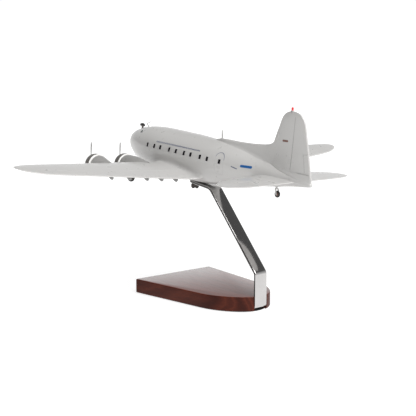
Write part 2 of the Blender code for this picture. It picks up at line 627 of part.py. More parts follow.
def rounded_path(points, radii, steps=5):
    """Polyline whose inner corners are replaced by arcs."""
    out = [points[0]]
    for i in range(1, len(points) - 1):
        p = Vector(points[i])
        a = (Vector(points[i - 1]) - p).normalized()
        b = (Vector(points[i + 1]) - p).normalized()
        half = a.angle(b) / 2
        d = radii[i - 1] / math.tan(half)
        centre = p + (a + b).normalized() * radii[i - 1] / math.sin(half)
        u, v = p + a * d - centre, p + b * d - centre
        sweep = math.pi - 2 * half
        for k in range(steps + 1):
            f = k / steps
            w = (u * math.sin((1 - f) * sweep) + v * math.sin(f * sweep)) / math.sin(sweep)
            out.append(tuple(centre + w))
    out.append(points[-1])
    return out


corner = to_object(PLATE_S[1], PLATE_Z[1])
path = rounded_path([to_object(PLATE_S[0], PLATE_Z[0]), corner, (STRAP_X, STRAP_BEND_Z), (STRAP_X, STRAP_FOOT_Z),
                     (STRAP_X + FOOT_LEN, STRAP_FOOT_Z)], (BEND_TOP, BEND_LOW, BEND_FOOT))


def strap(name, grow, mat, cutter):
    """Flat bar: a strip along the outer face, given its thickness by Solidify."""
    bm = bmesh.new()
    pts = [Vector(p) for p in path]
    if grow:
        normals = []
        for i in range(len(pts)):
            d = (pts[min(i + 1, len(pts) - 1)] - pts[max(i - 1, 0)]).normalized()
            normals.append(Vector((d.y, -d.x)))
        pts = [p + n * grow for p, n in zip(pts, normals)]
        pts[0] = pts[0] + (pts[0] - pts[1]).normalized() * grow
        pts[-1] = pts[-1] + (pts[-1] - pts[-2]).normalized() * grow
    w = STRAP_W / 2 + grow
    rows = [[bm.verts.new((p.x * MM, y * MM, p.y * MM)) for y in (-w, w)] for p in pts]
    for a, b in zip(rows, rows[1:]):
        bm.faces.new((a[0], a[1], b[1], b[0]))
    me = bpy.data.meshes.new(name)
    bm.to_mesh(me)
    bm.free()
    ob = put_mesh(name, me, mat, cutter=cutter)
    so = ob.modifiers.new("thickness", "SOLIDIFY")
    so.thickness = (STRAP_T + 2 * grow) * MM
    so.offset = -1.0
    so.use_even_offset = True
    return ob


arm = strap("stand_arm", 0.0, material("arm_polished_metal", (0.62, 0.61, 0.60), 0.12, 1.0), False)
arm_room = strap("arm_room", GAP, None, True)
boolean(fuselage, arm_room)

# one winged screw through the top plate into a nut let into the belly
SCREW_S = 135.2
SCREW_TURN = math.radians(-40.0)
nut_z = -20.5
put("belly_nut", cylinder_bm(3.4, 4.0, 6), material("nut_brass", (0.5, 0.36, 0.12), 0.35, 1.0), DATUM,
    at(SCREW_S, 0, nut_z))
nut_room = put("nut_room", cylinder_bm(3.4 + 0.35, 4.7, 6), None, DATUM, at(SCREW_S, 0, nut_z), cutter=True)
screw_room = put("screw_room", cylinder_bm(1.85, 24.0, 14), None, DATUM, at(SCREW_S, 0, -27.0), cutter=True)
plate_slot = put("nut_slot_room", box_bm(7.5, 6.8, 12.0), None, DATUM, at(SCREW_S, 0, nut_z - 3.65), cutter=True)
boolean(fuselage, nut_room)
boolean(fuselage, plate_slot)
boolean(fuselage, screw_room)
boolean(bpy.data.objects["belly_nut"], screw_room)
boolean(arm, screw_room)
wing_screw = put("wing_screw", cylinder_bm(1.5, 12.8, 14, Matrix.Translation((0, 0, -24.6))),
                 material("wing_screw_black", (0.03, 0.022, 0.018), 0.4), DATUM, at(SCREW_S, 0, 0))
collar = put("screw_collar_tool", cylinder_bm(2.1, 2.6, 16, Matrix.Translation((0, 0, PLATE_AT_SCREW - STRAP_T - GAP - 1.4))), None,
             DATUM, at(SCREW_S, 0, 0), cutter=True)
boolean(wing_screw, collar, "UNION")
bm = bmesh.new()
outline = [(-0.6, -0.9), (-1.2, -0.7), (-2.6, -0.4), (-3.9, -1.1), (-4.5, -3.0), (-4.1, -4.9), (-2.8, -6.1),
           (-1.4, -5.9), (0.0, -5.0)]
outline = outline + [(-u, v) for u, v in outline[-2::-1]]
zp = PLATE_AT_SCREW - STRAP_T - GAP
vs = [[bm.verts.new((u, w, zp + v)) for u, v in outline] for w in (-0.8, 0.8)]
bm.faces.new(vs[0])
bm.faces.new(vs[1][::-1])
for i in range(len(outline)):
    j = (i + 1) % len(outline)
    bm.faces.new((vs[0][i], vs[0][j], vs[1][j], vs[1][i]))
ears = put("screw_ears_tool", bm, None, DATUM, at(SCREW_S, 0, 0), (0, 0, SCREW_TURN), cutter=True)
boolean(wing_screw, ears, "UNION")


# ---------------------------------------------------------------- base
def base_outline(inset, n=26):
    """Half outline from the front corner round to the blunt aft end."""
    half = []
    for i in range(n + 1):
        t = 1 - (1 - i / n) ** 1.6
        u = max(0.0, (t - 0.66) / 0.34)
        w = (BASE_HALF - 18.7 * t) * math.sqrt(max(0.0, 1 - u * u))
        x = BASE_LEN * (0.5 - t)
        half.append((x, w))
    kx, kw = 1 - 2 * inset / BASE_LEN, 1 - inset / BASE_HALF
    return [(x * kx, w * kw) for x, w in half]


def slab(name, inset, z0, z1, mat, radius):
    """Symmetric slab: half outline drawn as a flat face, extruded, then mirrored."""
    pts = base_outline(inset)
    bm = bmesh.new()
    front = pts[0][0]
    ring = [(front, 0.0), (front, pts[0][1] - radius)]
    for k in range(1, 4):
        a = math.pi / 2 * k / 4
        ring.append((front - radius + radius * math.cos(a), pts[0][1] - radius + radius * math.sin(a)))
    ring.append((front - radius, pts[0][1] - 0.15 * radius))
    ring += [p for p in pts if p[0] < front - radius * 1.4]
    low = [bm.verts.new((x, y, z0)) for x, y in ring]
    high = [bm.verts.new((x, y, z1)) for x, y in ring]
    bm.faces.new(low)
    bm.faces.new(high[::-1])
    for i in range(len(ring) - 1):
        bm.faces.new((low[i], low[i + 1], high[i + 1], high[i]))
    ob = put(name, bm, mat, smooth=30)
    mi = ob.modifiers.new("mirror", "MIRROR")
    mi.use_axis = (False, True, False)
    mi.use_clip = True
    mi.use_mirror_merge = True
    mi.merge_threshold = 0.00005
    return ob


base = slab("base_block", 0.0, BASE_Z0, BASE_TOP, material("base_mahogany", (0.13, 0.035, 0.022), 0.25), 3.0)
bevel(base, 1.1, 2, 50)
boolean(base, arm_room)
# the foot drops into a pocket in the underside, and the upright into a notch in the aft end
foot_room = put("foot_room", box_bm(FOOT_LEN + 8.0, STRAP_W + 2 * GAP, STRAP_FOOT_Z + STRAP_T + GAP + 2.0,
                                    (STRAP_X + FOOT_LEN / 2 - 3.6, 0.0, (STRAP_FOOT_Z + STRAP_T + GAP - 2.0) / 2)), None,
                cutter=True)
boolean(base, foot_room)
notch = put("notch_room", box_bm(8.0, STRAP_W + 2 * GAP, 40.0, (STRAP_X + STRAP_T + GAP - 4.0, 0.0, 10.0)), None,
            cutter=True)
boolean(base, notch)
slab("felt_pad", 5.0, 0.0, FELT_T, material("felt_dark", (0.02, 0.02, 0.02), 0.95), 2.0)

# two wood screws up through the foot
for k, x in enumerate((STRAP_X + 13.0, STRAP_X + 26.0)):
    hole = put("foot_screw_room_%d" % k, cylinder_bm(1.75, 24.0, 12), None, None, (x, 0, 0.0), cutter=True)
    boolean(arm, hole)
    boolean(base, hole)
    turned("foot_screw_%s" % ("rear", "front")[k], [(0.0, 11.0), (0.7, 9.6), (1.4, 8.6), (1.4, 3.3), (2.9, 3.3),
                                                    (2.7, 2.2), (1.6, 1.7), (0.0, 1.7)], 14,
           material("foot_screw_%d_steel" % k, (0.5, 0.5, 0.5), 0.35, 1.0), None, (x, 0, 0))
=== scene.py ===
"""Looks for the desktop airliner model: smooth skins, markings, materials, stage, light and camera."""
import math

import bmesh
import bpy
import numpy as np
from mathutils import Matrix, Vector


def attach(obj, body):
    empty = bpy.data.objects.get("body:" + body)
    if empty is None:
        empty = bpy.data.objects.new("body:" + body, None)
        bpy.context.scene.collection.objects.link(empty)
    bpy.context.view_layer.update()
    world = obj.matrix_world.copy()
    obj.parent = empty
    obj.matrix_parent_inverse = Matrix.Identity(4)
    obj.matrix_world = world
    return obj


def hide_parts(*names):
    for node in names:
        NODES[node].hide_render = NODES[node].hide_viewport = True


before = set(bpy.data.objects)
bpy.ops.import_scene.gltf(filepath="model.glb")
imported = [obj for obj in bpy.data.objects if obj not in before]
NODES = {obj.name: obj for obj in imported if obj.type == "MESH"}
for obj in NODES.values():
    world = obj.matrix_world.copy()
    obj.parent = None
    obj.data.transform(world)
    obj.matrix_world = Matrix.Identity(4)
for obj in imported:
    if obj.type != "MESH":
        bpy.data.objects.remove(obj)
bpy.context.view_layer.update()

# ------------------------------------------------------------------ frame of the aircraft
PITCH = math.radians(2.71)
CT, ST = math.cos(PITCH), math.sin(PITCH)


def W(s, y, z):
    """Aircraft station, span, height (mm, arrays allowed) -> object frame, metres."""
    s, y, z = np.broadcast_arrays(np.asarray(s, float), np.asarray(y, float), np.asarray(z, float))
    return np.stack([(-s * CT - z * ST + 168.8), y, (-s * ST + z * CT + 162.1)], -1) * 1e-3


AX = Vector((CT, 0.0, ST))          # towards the nose
UPV = Vector((-ST, 0.0, CT))


def smooth(x):
    x = np.clip(x, 0, 1)
    return x * x * (3 - 2 * x)


def pchip(table, x, col=1):
    """Monotone cubic through a station table, vectorised."""
    xs = np.array([r[0] for r in table], float)
    ys = np.array([r[col] for r in table], float)
    h, d = np.diff(xs), np.diff(ys) / np.diff(xs)
    m = np.empty(len(xs))
    m[0], m[-1] = d[0], d[-1]
    for i in range(1, len(xs) - 1):
        m[i] = 0.0 if d[i - 1] * d[i] <= 0 else (h[i - 1] + h[i]) / (h[i - 1] / d[i] + h[i] / d[i - 1])
    x = np.clip(np.asarray(x, float), xs[0], xs[-1])
    i = np.clip(np.searchsorted(xs, x, side="right") - 1, 0, len(xs) - 2)
    t = (x - xs[i]) / h[i]
    return ((2 * t ** 3 - 3 * t * t + 1) * ys[i] + (t ** 3 - 2 * t * t + t) * h[i] * m[i]
            + (-2 * t ** 3 + 3 * t * t) * ys[i + 1] + (t ** 3 - t * t) * h[i] * m[i + 1])


# ------------------------------------------------------------------ design tables (as the CAD)
FUSELAGE = ((16.5, 0.0, 8.6), (17.5, 4.1, 8.4), (20.0, 8.0, 8.1), (23.0, 10.9, 7.7), (27.0, 13.5, 7.2),
            (35.0, 17.4, 6.2), (45.0, 20.9, 5.1), (58.0, 23.8, 4.0), (78.0, 26.0, 2.6), (98.0, 26.7, 1.5),
            (118.0, 26.5, 0.9), (140.0, 26.2, 0.2), (160.0, 25.3, -0.4), (180.0, 23.9, -0.6), (200.0, 21.7, -0.8),
            (220.0, 19.0, -1.3), (240.0, 15.5, -2.2), (258.0, 12.1, -3.4), (275.0, 8.7, -4.4), (292.0, 5.6, -5.1),
            (303.0, 3.9, -5.7), (311.0, 2.7, -6.0), (313.8, 2.1, -6.1), (315.2, 0.0, -6.2))
NOSE_S, NOSE_Z = 16.5, 8.6
WING_TIP_Y, WING_ROUND_Y = 226.4, 193.0
WING_LE, WING_TE = (82.2, 0.1502), (166.7, -0.0741)
WING_LE_Z, WING_TE_Z = (-15.1, 0.0785), (-21.1, 0.0905)
WING_T, WING_CAMBER = (0.180, 0.110), 0.022
TAIL_TIP_Y, TAIL_ROUND_Y, TAIL_LE, TAIL_TE, TAIL_Z, TAIL_T = 86.5, 54.0, (242.5, 0.145), 295.3, -5.7, 0.085
FIN = ((-7.0, 252.0, 315.2), (0.0, 254.0, 314.4), (5.0, 255.0, 313.3), (21.3, 257.6, 310.2),
       (31.0, 259.6, 308.1), (38.6, 262.4, 306.4), (49.0, 266.9, 304.0), (55.0, 269.5, 302.0),
       (58.5, 271.5, 299.6), (61.3, 274.2, 296.3), (63.2, 278.0, 292.0), (64.2, 282.0, 287.5),
       (64.5, 284.4, 285.2))
FIN_T = 0.085
ENGINES = (("left_outer", 100.4, 75.1, -8.3), ("left_inner", 51.7, 60.7, -12.4),
           ("right_inner", -51.7, 60.7, -12.4), ("right_outer", -100.4, 75.1, -8.3))
NAC_OUT = ((13.0, 11.2), (18.0, 10.9), (22.0, 9.9), (27.0, 8.5), (33.0, 7.0), (40.0, 5.2), (48.0, 3.2), (55.0, 1.3),
           (58.0, 0.0))
NAC_IN = ((13.0, 11.3), (18.0, 11.6), (28.0, 11.4), (38.0, 10.2), (47.0, 8.7), (58.0, 6.6), (70.0, 4.2), (80.0, 1.9),
          (85.0, 0.0))


def FR(s):
    return pchip(FUSELAGE, s, 1)


def FC(s):
    return pchip(FUSELAGE, s, 2)


def fus_y(s, z, off=0.0):
    """Half width of the fuselage skin at a station and height, plus an offset along the radius."""
    r = FR(s) + off
    return np.sqrt(np.maximum(r * r - (z - FC(s)) ** 2, 0.0))


# ------------------------------------------------------------------ materials
def new_mat(name):
    m = bpy.data.materials.new(name)
    m.use_nodes = True
    nt = m.node_tree
    return m, nt, nt.nodes["Principled BSDF"], nt.nodes.new, nt.links.new


def noise(nt, coord, scale, detail=4.0, rough=0.55, vec_scale=None):
    if vec_scale is not None:
        mp = nt.nodes.new("ShaderNodeMapping")
        mp.inputs["Scale"].default_value = vec_scale
        nt.links.new(coord, mp.inputs["Vector"])
        coord = mp.outputs["Vector"]
    n = nt.nodes.new("ShaderNodeTexNoise")
    n.inputs["Scale"].default_value = scale
    n.inputs["Detail"].default_value = detail
    n.inputs["Roughness"].default_value = rough
    nt.links.new(coord, n.inputs["Vector"])
    return n.outputs["Fac"]


def ramp(nt, fac, stops):
    r = nt.nodes.new("ShaderNodeValToRGB")
    e = r.color_ramp.elements
    while len(e) < len(stops):
        e.new(0.5)
    for el, (p, c) in zip(e, stops):
        el.position = p
        el.color = (*c, 1.0) if len(c) == 3 else c
    nt.links.new(fac, r.inputs["Fac"])
    return r.outputs["Color"]


def to_range(nt, fac, a, b, lo=0.0, hi=1.0):
    r = nt.nodes.new("ShaderNodeMapRange")
    r.inputs["From Min"].default_value = lo
    r.inputs["From Max"].default_value = hi
    r.inputs["To Min"].default_value = a
    r.inputs["To Max"].default_value = b
    nt.links.new(fac, r.inputs["Value"])
    return r.outputs["Result"]


def add_bump(nt, bsdf, height, strength, distance):
    b = nt.nodes.new("ShaderNodeBump")
    b.inputs["Strength"].default_value = strength
    b.inputs["Distance"].default_value = distance
    nt.links.new(height, b.inputs["Height"])
    nt.links.new(b.outputs["Normal"], bsdf.inputs["Normal"])


def paint_mat(name, dark, light, rough=(0.24, 0.36), coat=0.45, metal=0.0):
    """Sprayed gloss paint: slight cloudiness, orange peel, faint dust in the finish."""
    m, nt, b, new, link = new_mat(name)
    co = new("ShaderNodeTexCoord").outputs["Object"]
    cloud = noise(nt, co, 14.0, 2.0, 0.5)
    fine = noise(nt, co, 900.0, 2.0, 0.5)
    speck = noise(nt, co, 120.0, 3.0, 0.5)
    mix = new("ShaderNodeMix")
    mix.data_type = "FLOAT"
    mix.inputs["Factor"].default_value = 0.10
    link(cloud, mix.inputs["A"])
    link(speck, mix.inputs["B"])
    link(ramp(nt, mix.outputs["Result"], ((0.30, dark), (0.70, light))), b.inputs["Base Color"])
    link(to_range(nt, speck, rough[0], rough[1], 0.3, 0.7), b.inputs["Roughness"])
    b.inputs["Metallic"].default_value = metal
    b.inputs["Coat Weight"].default_value = coat
    b.inputs["Coat Roughness"].default_value = 0.07
    add_bump(nt, b, fine, 0.02, 0.00003)
    return m


def metal_mat(name, dark, light, rough=(0.10, 0.22), stretch=(1.0, 1.0, 1.0), scale=300.0, bump=0.04, aniso=0.0):
    m, nt, b, new, link = new_mat(name)
    co = new("ShaderNodeTexCoord").outputs["Object"]
    brush = noise(nt, co, scale, 4.0, 0.6, stretch)
    cloud = noise(nt, co, 30.0, 4.0, 0.6)
    link(ramp(nt, cloud, ((0.3, dark), (0.7, light))), b.inputs["Base Color"])
    b.inputs["Metallic"].default_value = 1.0
    link(to_range(nt, brush, rough[0], rough[1], 0.3, 0.7), b.inputs["Roughness"])
    b.inputs["Anisotropic"].default_value = aniso
    add_bump(nt, b, brush, bump, 0.00004)
    return m


def wood_mat(name, coat=1.0, spec=0.5, rough=(0.3, 0.7), painted_light_gain=1.0, contrast=1.0):
    """Dark red-brown mahogany with long open grain along X, under a clear gloss lacquer; painted_light_gain above 1
    lightens the colour as painted light.
    """
    m, nt, b, new, link = new_mat(name)
    co = new("ShaderNodeTexCoord").outputs["Object"]
    warp = noise(nt, co, 9.0, 3.0, 0.5, (1.0, 2.6, 2.6))
    mp = new("ShaderNodeMapping")
    mp.inputs["Scale"].default_value = (1.0, 11.0, 11.0)
    link(co, mp.inputs["Vector"])
    add = new("ShaderNodeMixRGB")
    add.blend_type = "ADD"
    add.inputs["Fac"].default_value = 0.22
    link(mp.outputs["Vector"], add.inputs["Color1"])
    link(warp, add.inputs["Color2"])
    wave = new("ShaderNodeTexWave")
    wave.wave_type = "BANDS"
    wave.bands_direction = "Y"
    wave.inputs["Scale"].default_value = 1.6
    wave.inputs["Distortion"].default_value = 5.5
    wave.inputs["Detail"].default_value = 4.0
    wave.inputs["Detail Scale"].default_value = 1.6
    link(add.outputs["Color"], wave.inputs["Vector"])
    grain = noise(nt, co, 55.0, 6.0, 0.65, (1.0, 16.0, 16.0))
    pores = noise(nt, co, 230.0, 3.0, 0.6, (1.0, 22.0, 22.0))
    tones = ((0.0, (0.040, 0.0075, 0.0040)), (0.45, (0.066, 0.0125, 0.0065)),
             (0.8, (0.088, 0.0185, 0.0090)), (1.0, (0.058, 0.0110, 0.0058)))
    mid = (0.066, 0.0125, 0.0065)
    # painted_light_gain scales the wood tones: painted light where it is above 1
    base = ramp(nt, wave.outputs["Fac"], tuple((at, tuple((m_ + (v - m_) * contrast) * painted_light_gain for v, m_ in zip(rgb, mid))) for at, rgb in tones))
    g = ramp(nt, grain, ((0.30, (0.72, 0.68, 0.66)), (0.62, (1.0, 1.0, 1.0))))
    mul = new("ShaderNodeMixRGB")
    mul.blend_type = "MULTIPLY"
    mul.inputs["Fac"].default_value = 0.85 * (0.4 + 0.6 * contrast)
    link(base, mul.inputs["Color1"])
    link(g, mul.inputs["Color2"])
    p = ramp(nt, pores, ((0.33, (0.45, 0.4, 0.38)), (0.44, (1.0, 1.0, 1.0))))
    mul2 = new("ShaderNodeMixRGB")
    mul2.blend_type = "MULTIPLY"
    mul2.inputs["Fac"].default_value = 0.6
    link(mul.outputs["Color"], mul2.inputs["Color1"])
    link(p, mul2.inputs["Color2"])
    link(mul2.outputs["Color"], b.inputs["Base Color"])
    link(to_range(nt, grain, rough[0], rough[1], 0.3, 0.7), b.inputs["Roughness"])
    b.inputs["Coat Weight"].default_value = coat
    b.inputs["Coat Roughness"].default_value = 0.16
    b.inputs["Coat IOR"].default_value = 1.45
    b.inputs["Specular IOR Level"].default_value = spec
    add_bump(nt, b, pores, 0.10, 0.00008)
    return m


def rubber_mat(name, dark=(0.012, 0.011, 0.0105), light=(0.032, 0.028, 0.026), rough=(0.5, 0.7), scale=420.0, bump=0.25):
    m, nt, b, new, link = new_mat(name)
    co = new("ShaderNodeTexCoord").outputs["Object"]
    n = noise(nt, co, scale, 5.0, 0.6)
    link(ramp(nt, n, ((0.3, dark), (0.7, light))), b.inputs["Base Color"])
    link(to_range(nt, n, rough[0], rough[1], 0.3, 0.7), b.inputs["Roughness"])
    add_bump(nt, b, n, bump, 0.00008)
    return m


M_PAINT = paint_mat("airliner_paint", (0.470, 0.463, 0.452), (0.500, 0.493, 0.482), (0.27, 0.33))
# cowl: dark grey paint, made darker still as painted shade at the front of the nacelle
M_COWL_PAINT_AND_PAINTED_SHADE = paint_mat("cowl_paint", (0.120, 0.113, 0.106), (0.155, 0.146, 0.137), (0.22, 0.34))
# nacelle grey darker than the airframe paint: painted shade
M_NAC_PAINTED_SHADE = paint_mat("nacelle_painted_shade", (0.265, 0.260, 0.253), (0.30, 0.294, 0.286), (0.27, 0.33))
# near-white cowl band: painted highlight standing for a polished metal ring
M_BAND_PAINTED_HIGHLIGHT = paint_mat("cowl_band_painted_highlight", (0.80, 0.79, 0.77), (0.86, 0.85, 0.83), (0.18, 0.28))
# dark grey for the hinge fairings: painted shade
M_FAIR_PAINTED_SHADE = paint_mat("fairing_painted_shade", (0.17, 0.17, 0.165), (0.24, 0.235, 0.23), (0.3, 0.42))
M_ENGINE = metal_mat("engine_metal", (0.07, 0.07, 0.075), (0.14, 0.14, 0.145), (0.32, 0.5), scale=500.0, bump=0.12)
M_CASE = metal_mat("crankcase_grey", (0.22, 0.225, 0.23), (0.32, 0.325, 0.33), (0.3, 0.45), scale=300.0)
M_BRONZE = metal_mat("exhaust_bronze", (0.16, 0.10, 0.07), (0.30, 0.20, 0.14), (0.3, 0.5), scale=200.0, bump=0.1)
M_PROP = metal_mat("propeller_metal", (0.46, 0.46, 0.455), (0.58, 0.58, 0.57), (0.22, 0.36), (3.0, 40.0, 3.0), 60.0)
M_ARM = metal_mat("arm_polished", (0.50, 0.49, 0.485), (0.57, 0.56, 0.555), (0.07, 0.15), (60.0, 3.0, 60.0), 18.0, 0.03)
# near-black steel for the arm's side edges: painted shade
M_EDGE_PAINTED_SHADE = metal_mat("arm_satin_edge_painted_shade", (0.055, 0.053, 0.052), (0.085, 0.082, 0.080), (0.30, 0.42), (60.0, 3.0, 60.0), 30.0, 0.05)
M_STEEL = metal_mat("bright_steel", (0.42, 0.42, 0.42), (0.56, 0.56, 0.55), (0.2, 0.36))
M_BRASS = metal_mat("nut_brass", (0.50, 0.34, 0.12), (0.62, 0.44, 0.18), (0.25, 0.4))
M_WOOD = wood_mat("base_mahogany", 0.10, 0.10, (0.42, 0.58))
# lighter, flatter-grained copy of the mahogany for the top faces: painted light
M_WOOD_TOP_PAINTED_LIGHT = wood_mat("base_mahogany_top_painted_light", 1.0, 0.5, (0.30, 0.46), 2.1, 0.35)
M_RUBBER = rubber_mat("tyre_rubber")
M_HUB = paint_mat("wheel_hub_paint", (0.16, 0.085, 0.06), (0.24, 0.13, 0.09), (0.3, 0.45))
M_FELT = rubber_mat("base_felt", (0.008, 0.008, 0.008), (0.03, 0.03, 0.03), (0.9, 1.0), 900.0, 0.8)
M_SCREW = rubber_mat("winged_screw_black", (0.012, 0.008, 0.006), (0.035, 0.022, 0.017), (0.3, 0.45), 300.0, 0.1)
M_GLOSSBLACK = paint_mat("loop_gloss_black", (0.010, 0.009, 0.009), (0.022, 0.02, 0.019), (0.12, 0.22), 0.8)
M_PEDESTAL = paint_mat("pedestal_brown", (0.035, 0.017, 0.012), (0.06, 0.03, 0.02), (0.25, 0.4), 0.5)
M_GLASS = paint_mat("window_black", (0.010, 0.010, 0.012), (0.024, 0.022, 0.026), (0.10, 0.2), 0.9)
M_COCKPIT = paint_mat("cockpit_glass", (0.045, 0.055, 0.052), (0.085, 0.10, 0.095), (0.06, 0.14), 1.0)
M_BLUE = paint_mat("marking_blue", (0.010, 0.075, 0.24), (0.016, 0.11, 0.31), (0.25, 0.36), 0.4)
M_NAVY = paint_mat("marking_navy", (0.035, 0.05, 0.10), (0.06, 0.08, 0.15), (0.3, 0.42), 0.3)
M_WHITE = paint_mat("marking_white", (0.78, 0.78, 0.77), (0.84, 0.84, 0.83), (0.25, 0.35), 0.4)
M_RUST = paint_mat("marking_brown", (0.10, 0.045, 0.035), (0.17, 0.075, 0.055), (0.3, 0.42), 0.3)
M_LINE2 = paint_mat("door_arch_ink", (0.10, 0.11, 0.16), (0.16, 0.17, 0.23), (0.35, 0.5), 0.2)
M_LINE3 = paint_mat("door_joint_ink", (0.38, 0.375, 0.37), (0.44, 0.435, 0.43), (0.35, 0.5), 0.2)
M_LINE = paint_mat("panel_line_ink", (0.20, 0.195, 0.19), (0.28, 0.272, 0.265), (0.35, 0.5), 0.2)


def red_mat():
    m, nt, b, new, link = new_mat("beacon_red")
    co = new("ShaderNodeTexCoord").outputs["Object"]
    n = noise(nt, co, 700.0, 3.0, 0.5)
    link(ramp(nt, n, ((0.3, (0.50, 0.008, 0.012)), (0.7, (0.66, 0.018, 0.022)))), b.inputs["Base Color"])
    link(to_range(nt, n, 0.08, 0.2, 0.3, 0.7), b.inputs["Roughness"])
    b.inputs["Coat Weight"].default_value = 0.8
    b.inputs["Coat Roughness"].default_value = 0.05
    b.inputs["Subsurface Weight"].default_value = 0.3
    b.inputs["Subsurface Scale"].default_value = 0.001
    b.inputs["Subsurface Radius"].default_value = (1.0, 0.2, 0.2)
    return m


M_RED = red_mat()


# ------------------------------------------------------------------ mesh helpers
def link_mesh(name, verts, faces, mat, body="airframe", sharp=40.0, slot="grey_paint", replaces=(), recalc=True):
    me = bpy.data.meshes.new(name)
    me.from_pydata([tuple(map(float, v)) for v in verts], [], [tuple(map(int, f)) for f in faces])
    if recalc:
        bm = bmesh.new()
        bm.from_mesh(me)
        bmesh.ops.remove_doubles(bm, verts=bm.verts, dist=1e-7)
        bmesh.ops.recalc_face_normals(bm, faces=bm.faces)
        bm.to_mesh(me)
        bm.free()
    me.materials.append(mat)
    me.shade_smooth()
    me.set_sharp_from_angle(angle=math.radians(sharp))
    ob = bpy.data.objects.new(name, me)
    bpy.context.scene.collection.objects.link(ob)
    if body:
        finish_piece(ob, body, replaces)
    return ob


def finish_piece(ob, body, replaces=()):
    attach(ob, body)
    if replaces:
        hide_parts(*replaces)
    return ob


def skin(name, P, mat, pole0=None, pole1=None, wrap=True, **kw):
    """Quad skin through rings P (n, m, 3); optional pole points; flat caps otherwise."""
    n, m = P.shape[:2]
    verts = list(P.reshape(-1, 3))
    faces = []
    mm = m if wrap else m - 1
    for i in range(n - 1):
        for j in range(mm):
            k = (j + 1) % m
            faces.append((i * m + j, i * m + k, (i + 1) * m + k, (i + 1) * m + j))
    if wrap:
        for row, pole, flip in ((0, pole0, True), (n - 1, pole1, False)):
            if pole is None:
                ring = [row * m + j for j in range(m)]
                faces.append(ring[::-1] if flip else ring)
            else:
                verts.append(pole)
                c = len(verts) - 1
                for j in range(m):
                    k = (j + 1) % m
                    faces.append((row * m + k, row * m + j, c) if flip else (row * m + j, row * m + k, c))
    return link_mesh(name, verts, faces, mat, **kw)


def turned(name, prof, origin, axis, mat, sides=64, ref=None, **kw):
    """Revolve (radius, distance along axis) mm round an axis; closed loop unless ends are on the axis."""
    axis = Vector(axis).normalized()
    ref = Vector(ref) if ref is not None else (UPV if abs(axis.dot(UPV)) < 0.9 else AX)
    u = (ref - axis * ref.dot(axis)).normalized()
    v = axis.cross(u)
    o = np.array(origin)
    ua, va, aa = np.array(u), np.array(v), np.array(axis)
    verts, rows = [], []
    for r, h in prof:
        if r < 1e-6:
            rows.append([len(verts)])
            verts.append(o + aa * h * 1e-3)
        else:
            row = []
            for k in range(sides):
                t = 2 * math.pi * k / sides
                row.append(len(verts))
                verts.append(o + (ua * math.cos(t) + va * math.sin(t)) * r * 1e-3 + aa * h * 1e-3)
            rows.append(row)
    faces = []
    closed = len(rows[0]) > 1 and len(rows[-1]) > 1
    seq = list(zip(rows, rows[1:])) + ([(rows[-1], rows[0])] if closed else [])
    for a, b in seq:
        for k in range(sides):
            j = (k + 1) % sides
            if len(a) == 1 and len(b) > 1:
                faces.append((a[0], b[k], b[j]))
            elif len(b) == 1 and len(a) > 1:
                faces.append((a[j], a[k], b[0]))
            elif len(a) > 1:
                faces.append((a[k], b[k], b[j], a[j]))
    return link_mesh(name, verts, faces, mat, **kw)


def dense(prof, per=1.0):
    """Rounded profile: Catmull-Rom through the points, resampled."""
    P = np.array(prof, float)
    out = []
    for i in range(len(P) - 1):
        p0, p1, p2, p3 = P[max(i - 1, 0)], P[i], P[i + 1], P[min(i + 2, len(P) - 1)]
        n = max(2, int(np.linalg.norm(p2 - p1) / per) + 1)
        for k in range(n):
            t = k / n
            out.append(0.5 * ((2 * p1) + (-p0 + p2) * t + (2 * p0 - 5 * p1 + 4 * p2 - p3) * t * t
                              + (-p0 + 3 * p1 - 3 * p2 + p3) * t ** 3))
    out.append(P[-1])
    return [(max(0.0, float(a)), float(b)) for a, b in out]


def plate_patch(name, F, outline, mat, lift=0.05, depth=0.25, cells=0.6, **kw):
    """Thin closed decal: outline polygon in (a, b) mm filled with a fine grid, mapped through F(a, b, offset)."""
    bm = bmesh.new()
    vs = [bm.verts.new((a, b, 0.0)) for a, b in outline]
    bm.faces.new(vs)
    xs = [p[0] for p in outline]
    ys = [p[1] for p in outline]
    for axis, lo, hi in (((1, 0, 0), min(xs), max(xs)), ((0, 1, 0), min(ys), max(ys))):
        n = int((hi - lo) / cells)
        for k in range(1, n + 1):
            c = lo + (hi - lo) * k / (n + 1)
            bmesh.ops.bisect_plane(bm, geom=bm.verts[:] + bm.edges[:] + bm.faces[:],
                                   plane_co=(c if axis[0] else 0, c if axis[1] else 0, 0), plane_no=axis)
    bmesh.ops.triangulate(bm, faces=bm.faces)
    bm.verts.index_update()
    ab = np.array([v.co[:2] for v in bm.verts])
    tri = [[v.index for v in f.verts] for f in bm.faces]
    edge = [[e.verts[0].index, e.verts[1].index] for e in bm.edges if e.is_boundary]
    bm.free()
    n = len(ab)
    top, bot = F(ab[:, 0], ab[:, 1], lift), F(ab[:, 0], ab[:, 1], -depth)
    verts = list(top) + list(bot)
    faces = [tuple(t) for t in tri] + [tuple(n + i for i in t[::-1]) for t in tri]
    faces += [(a, b, n + b, n + a) for a, b in edge]
    return link_mesh(name, verts, faces, mat, sharp=50.0, **kw)


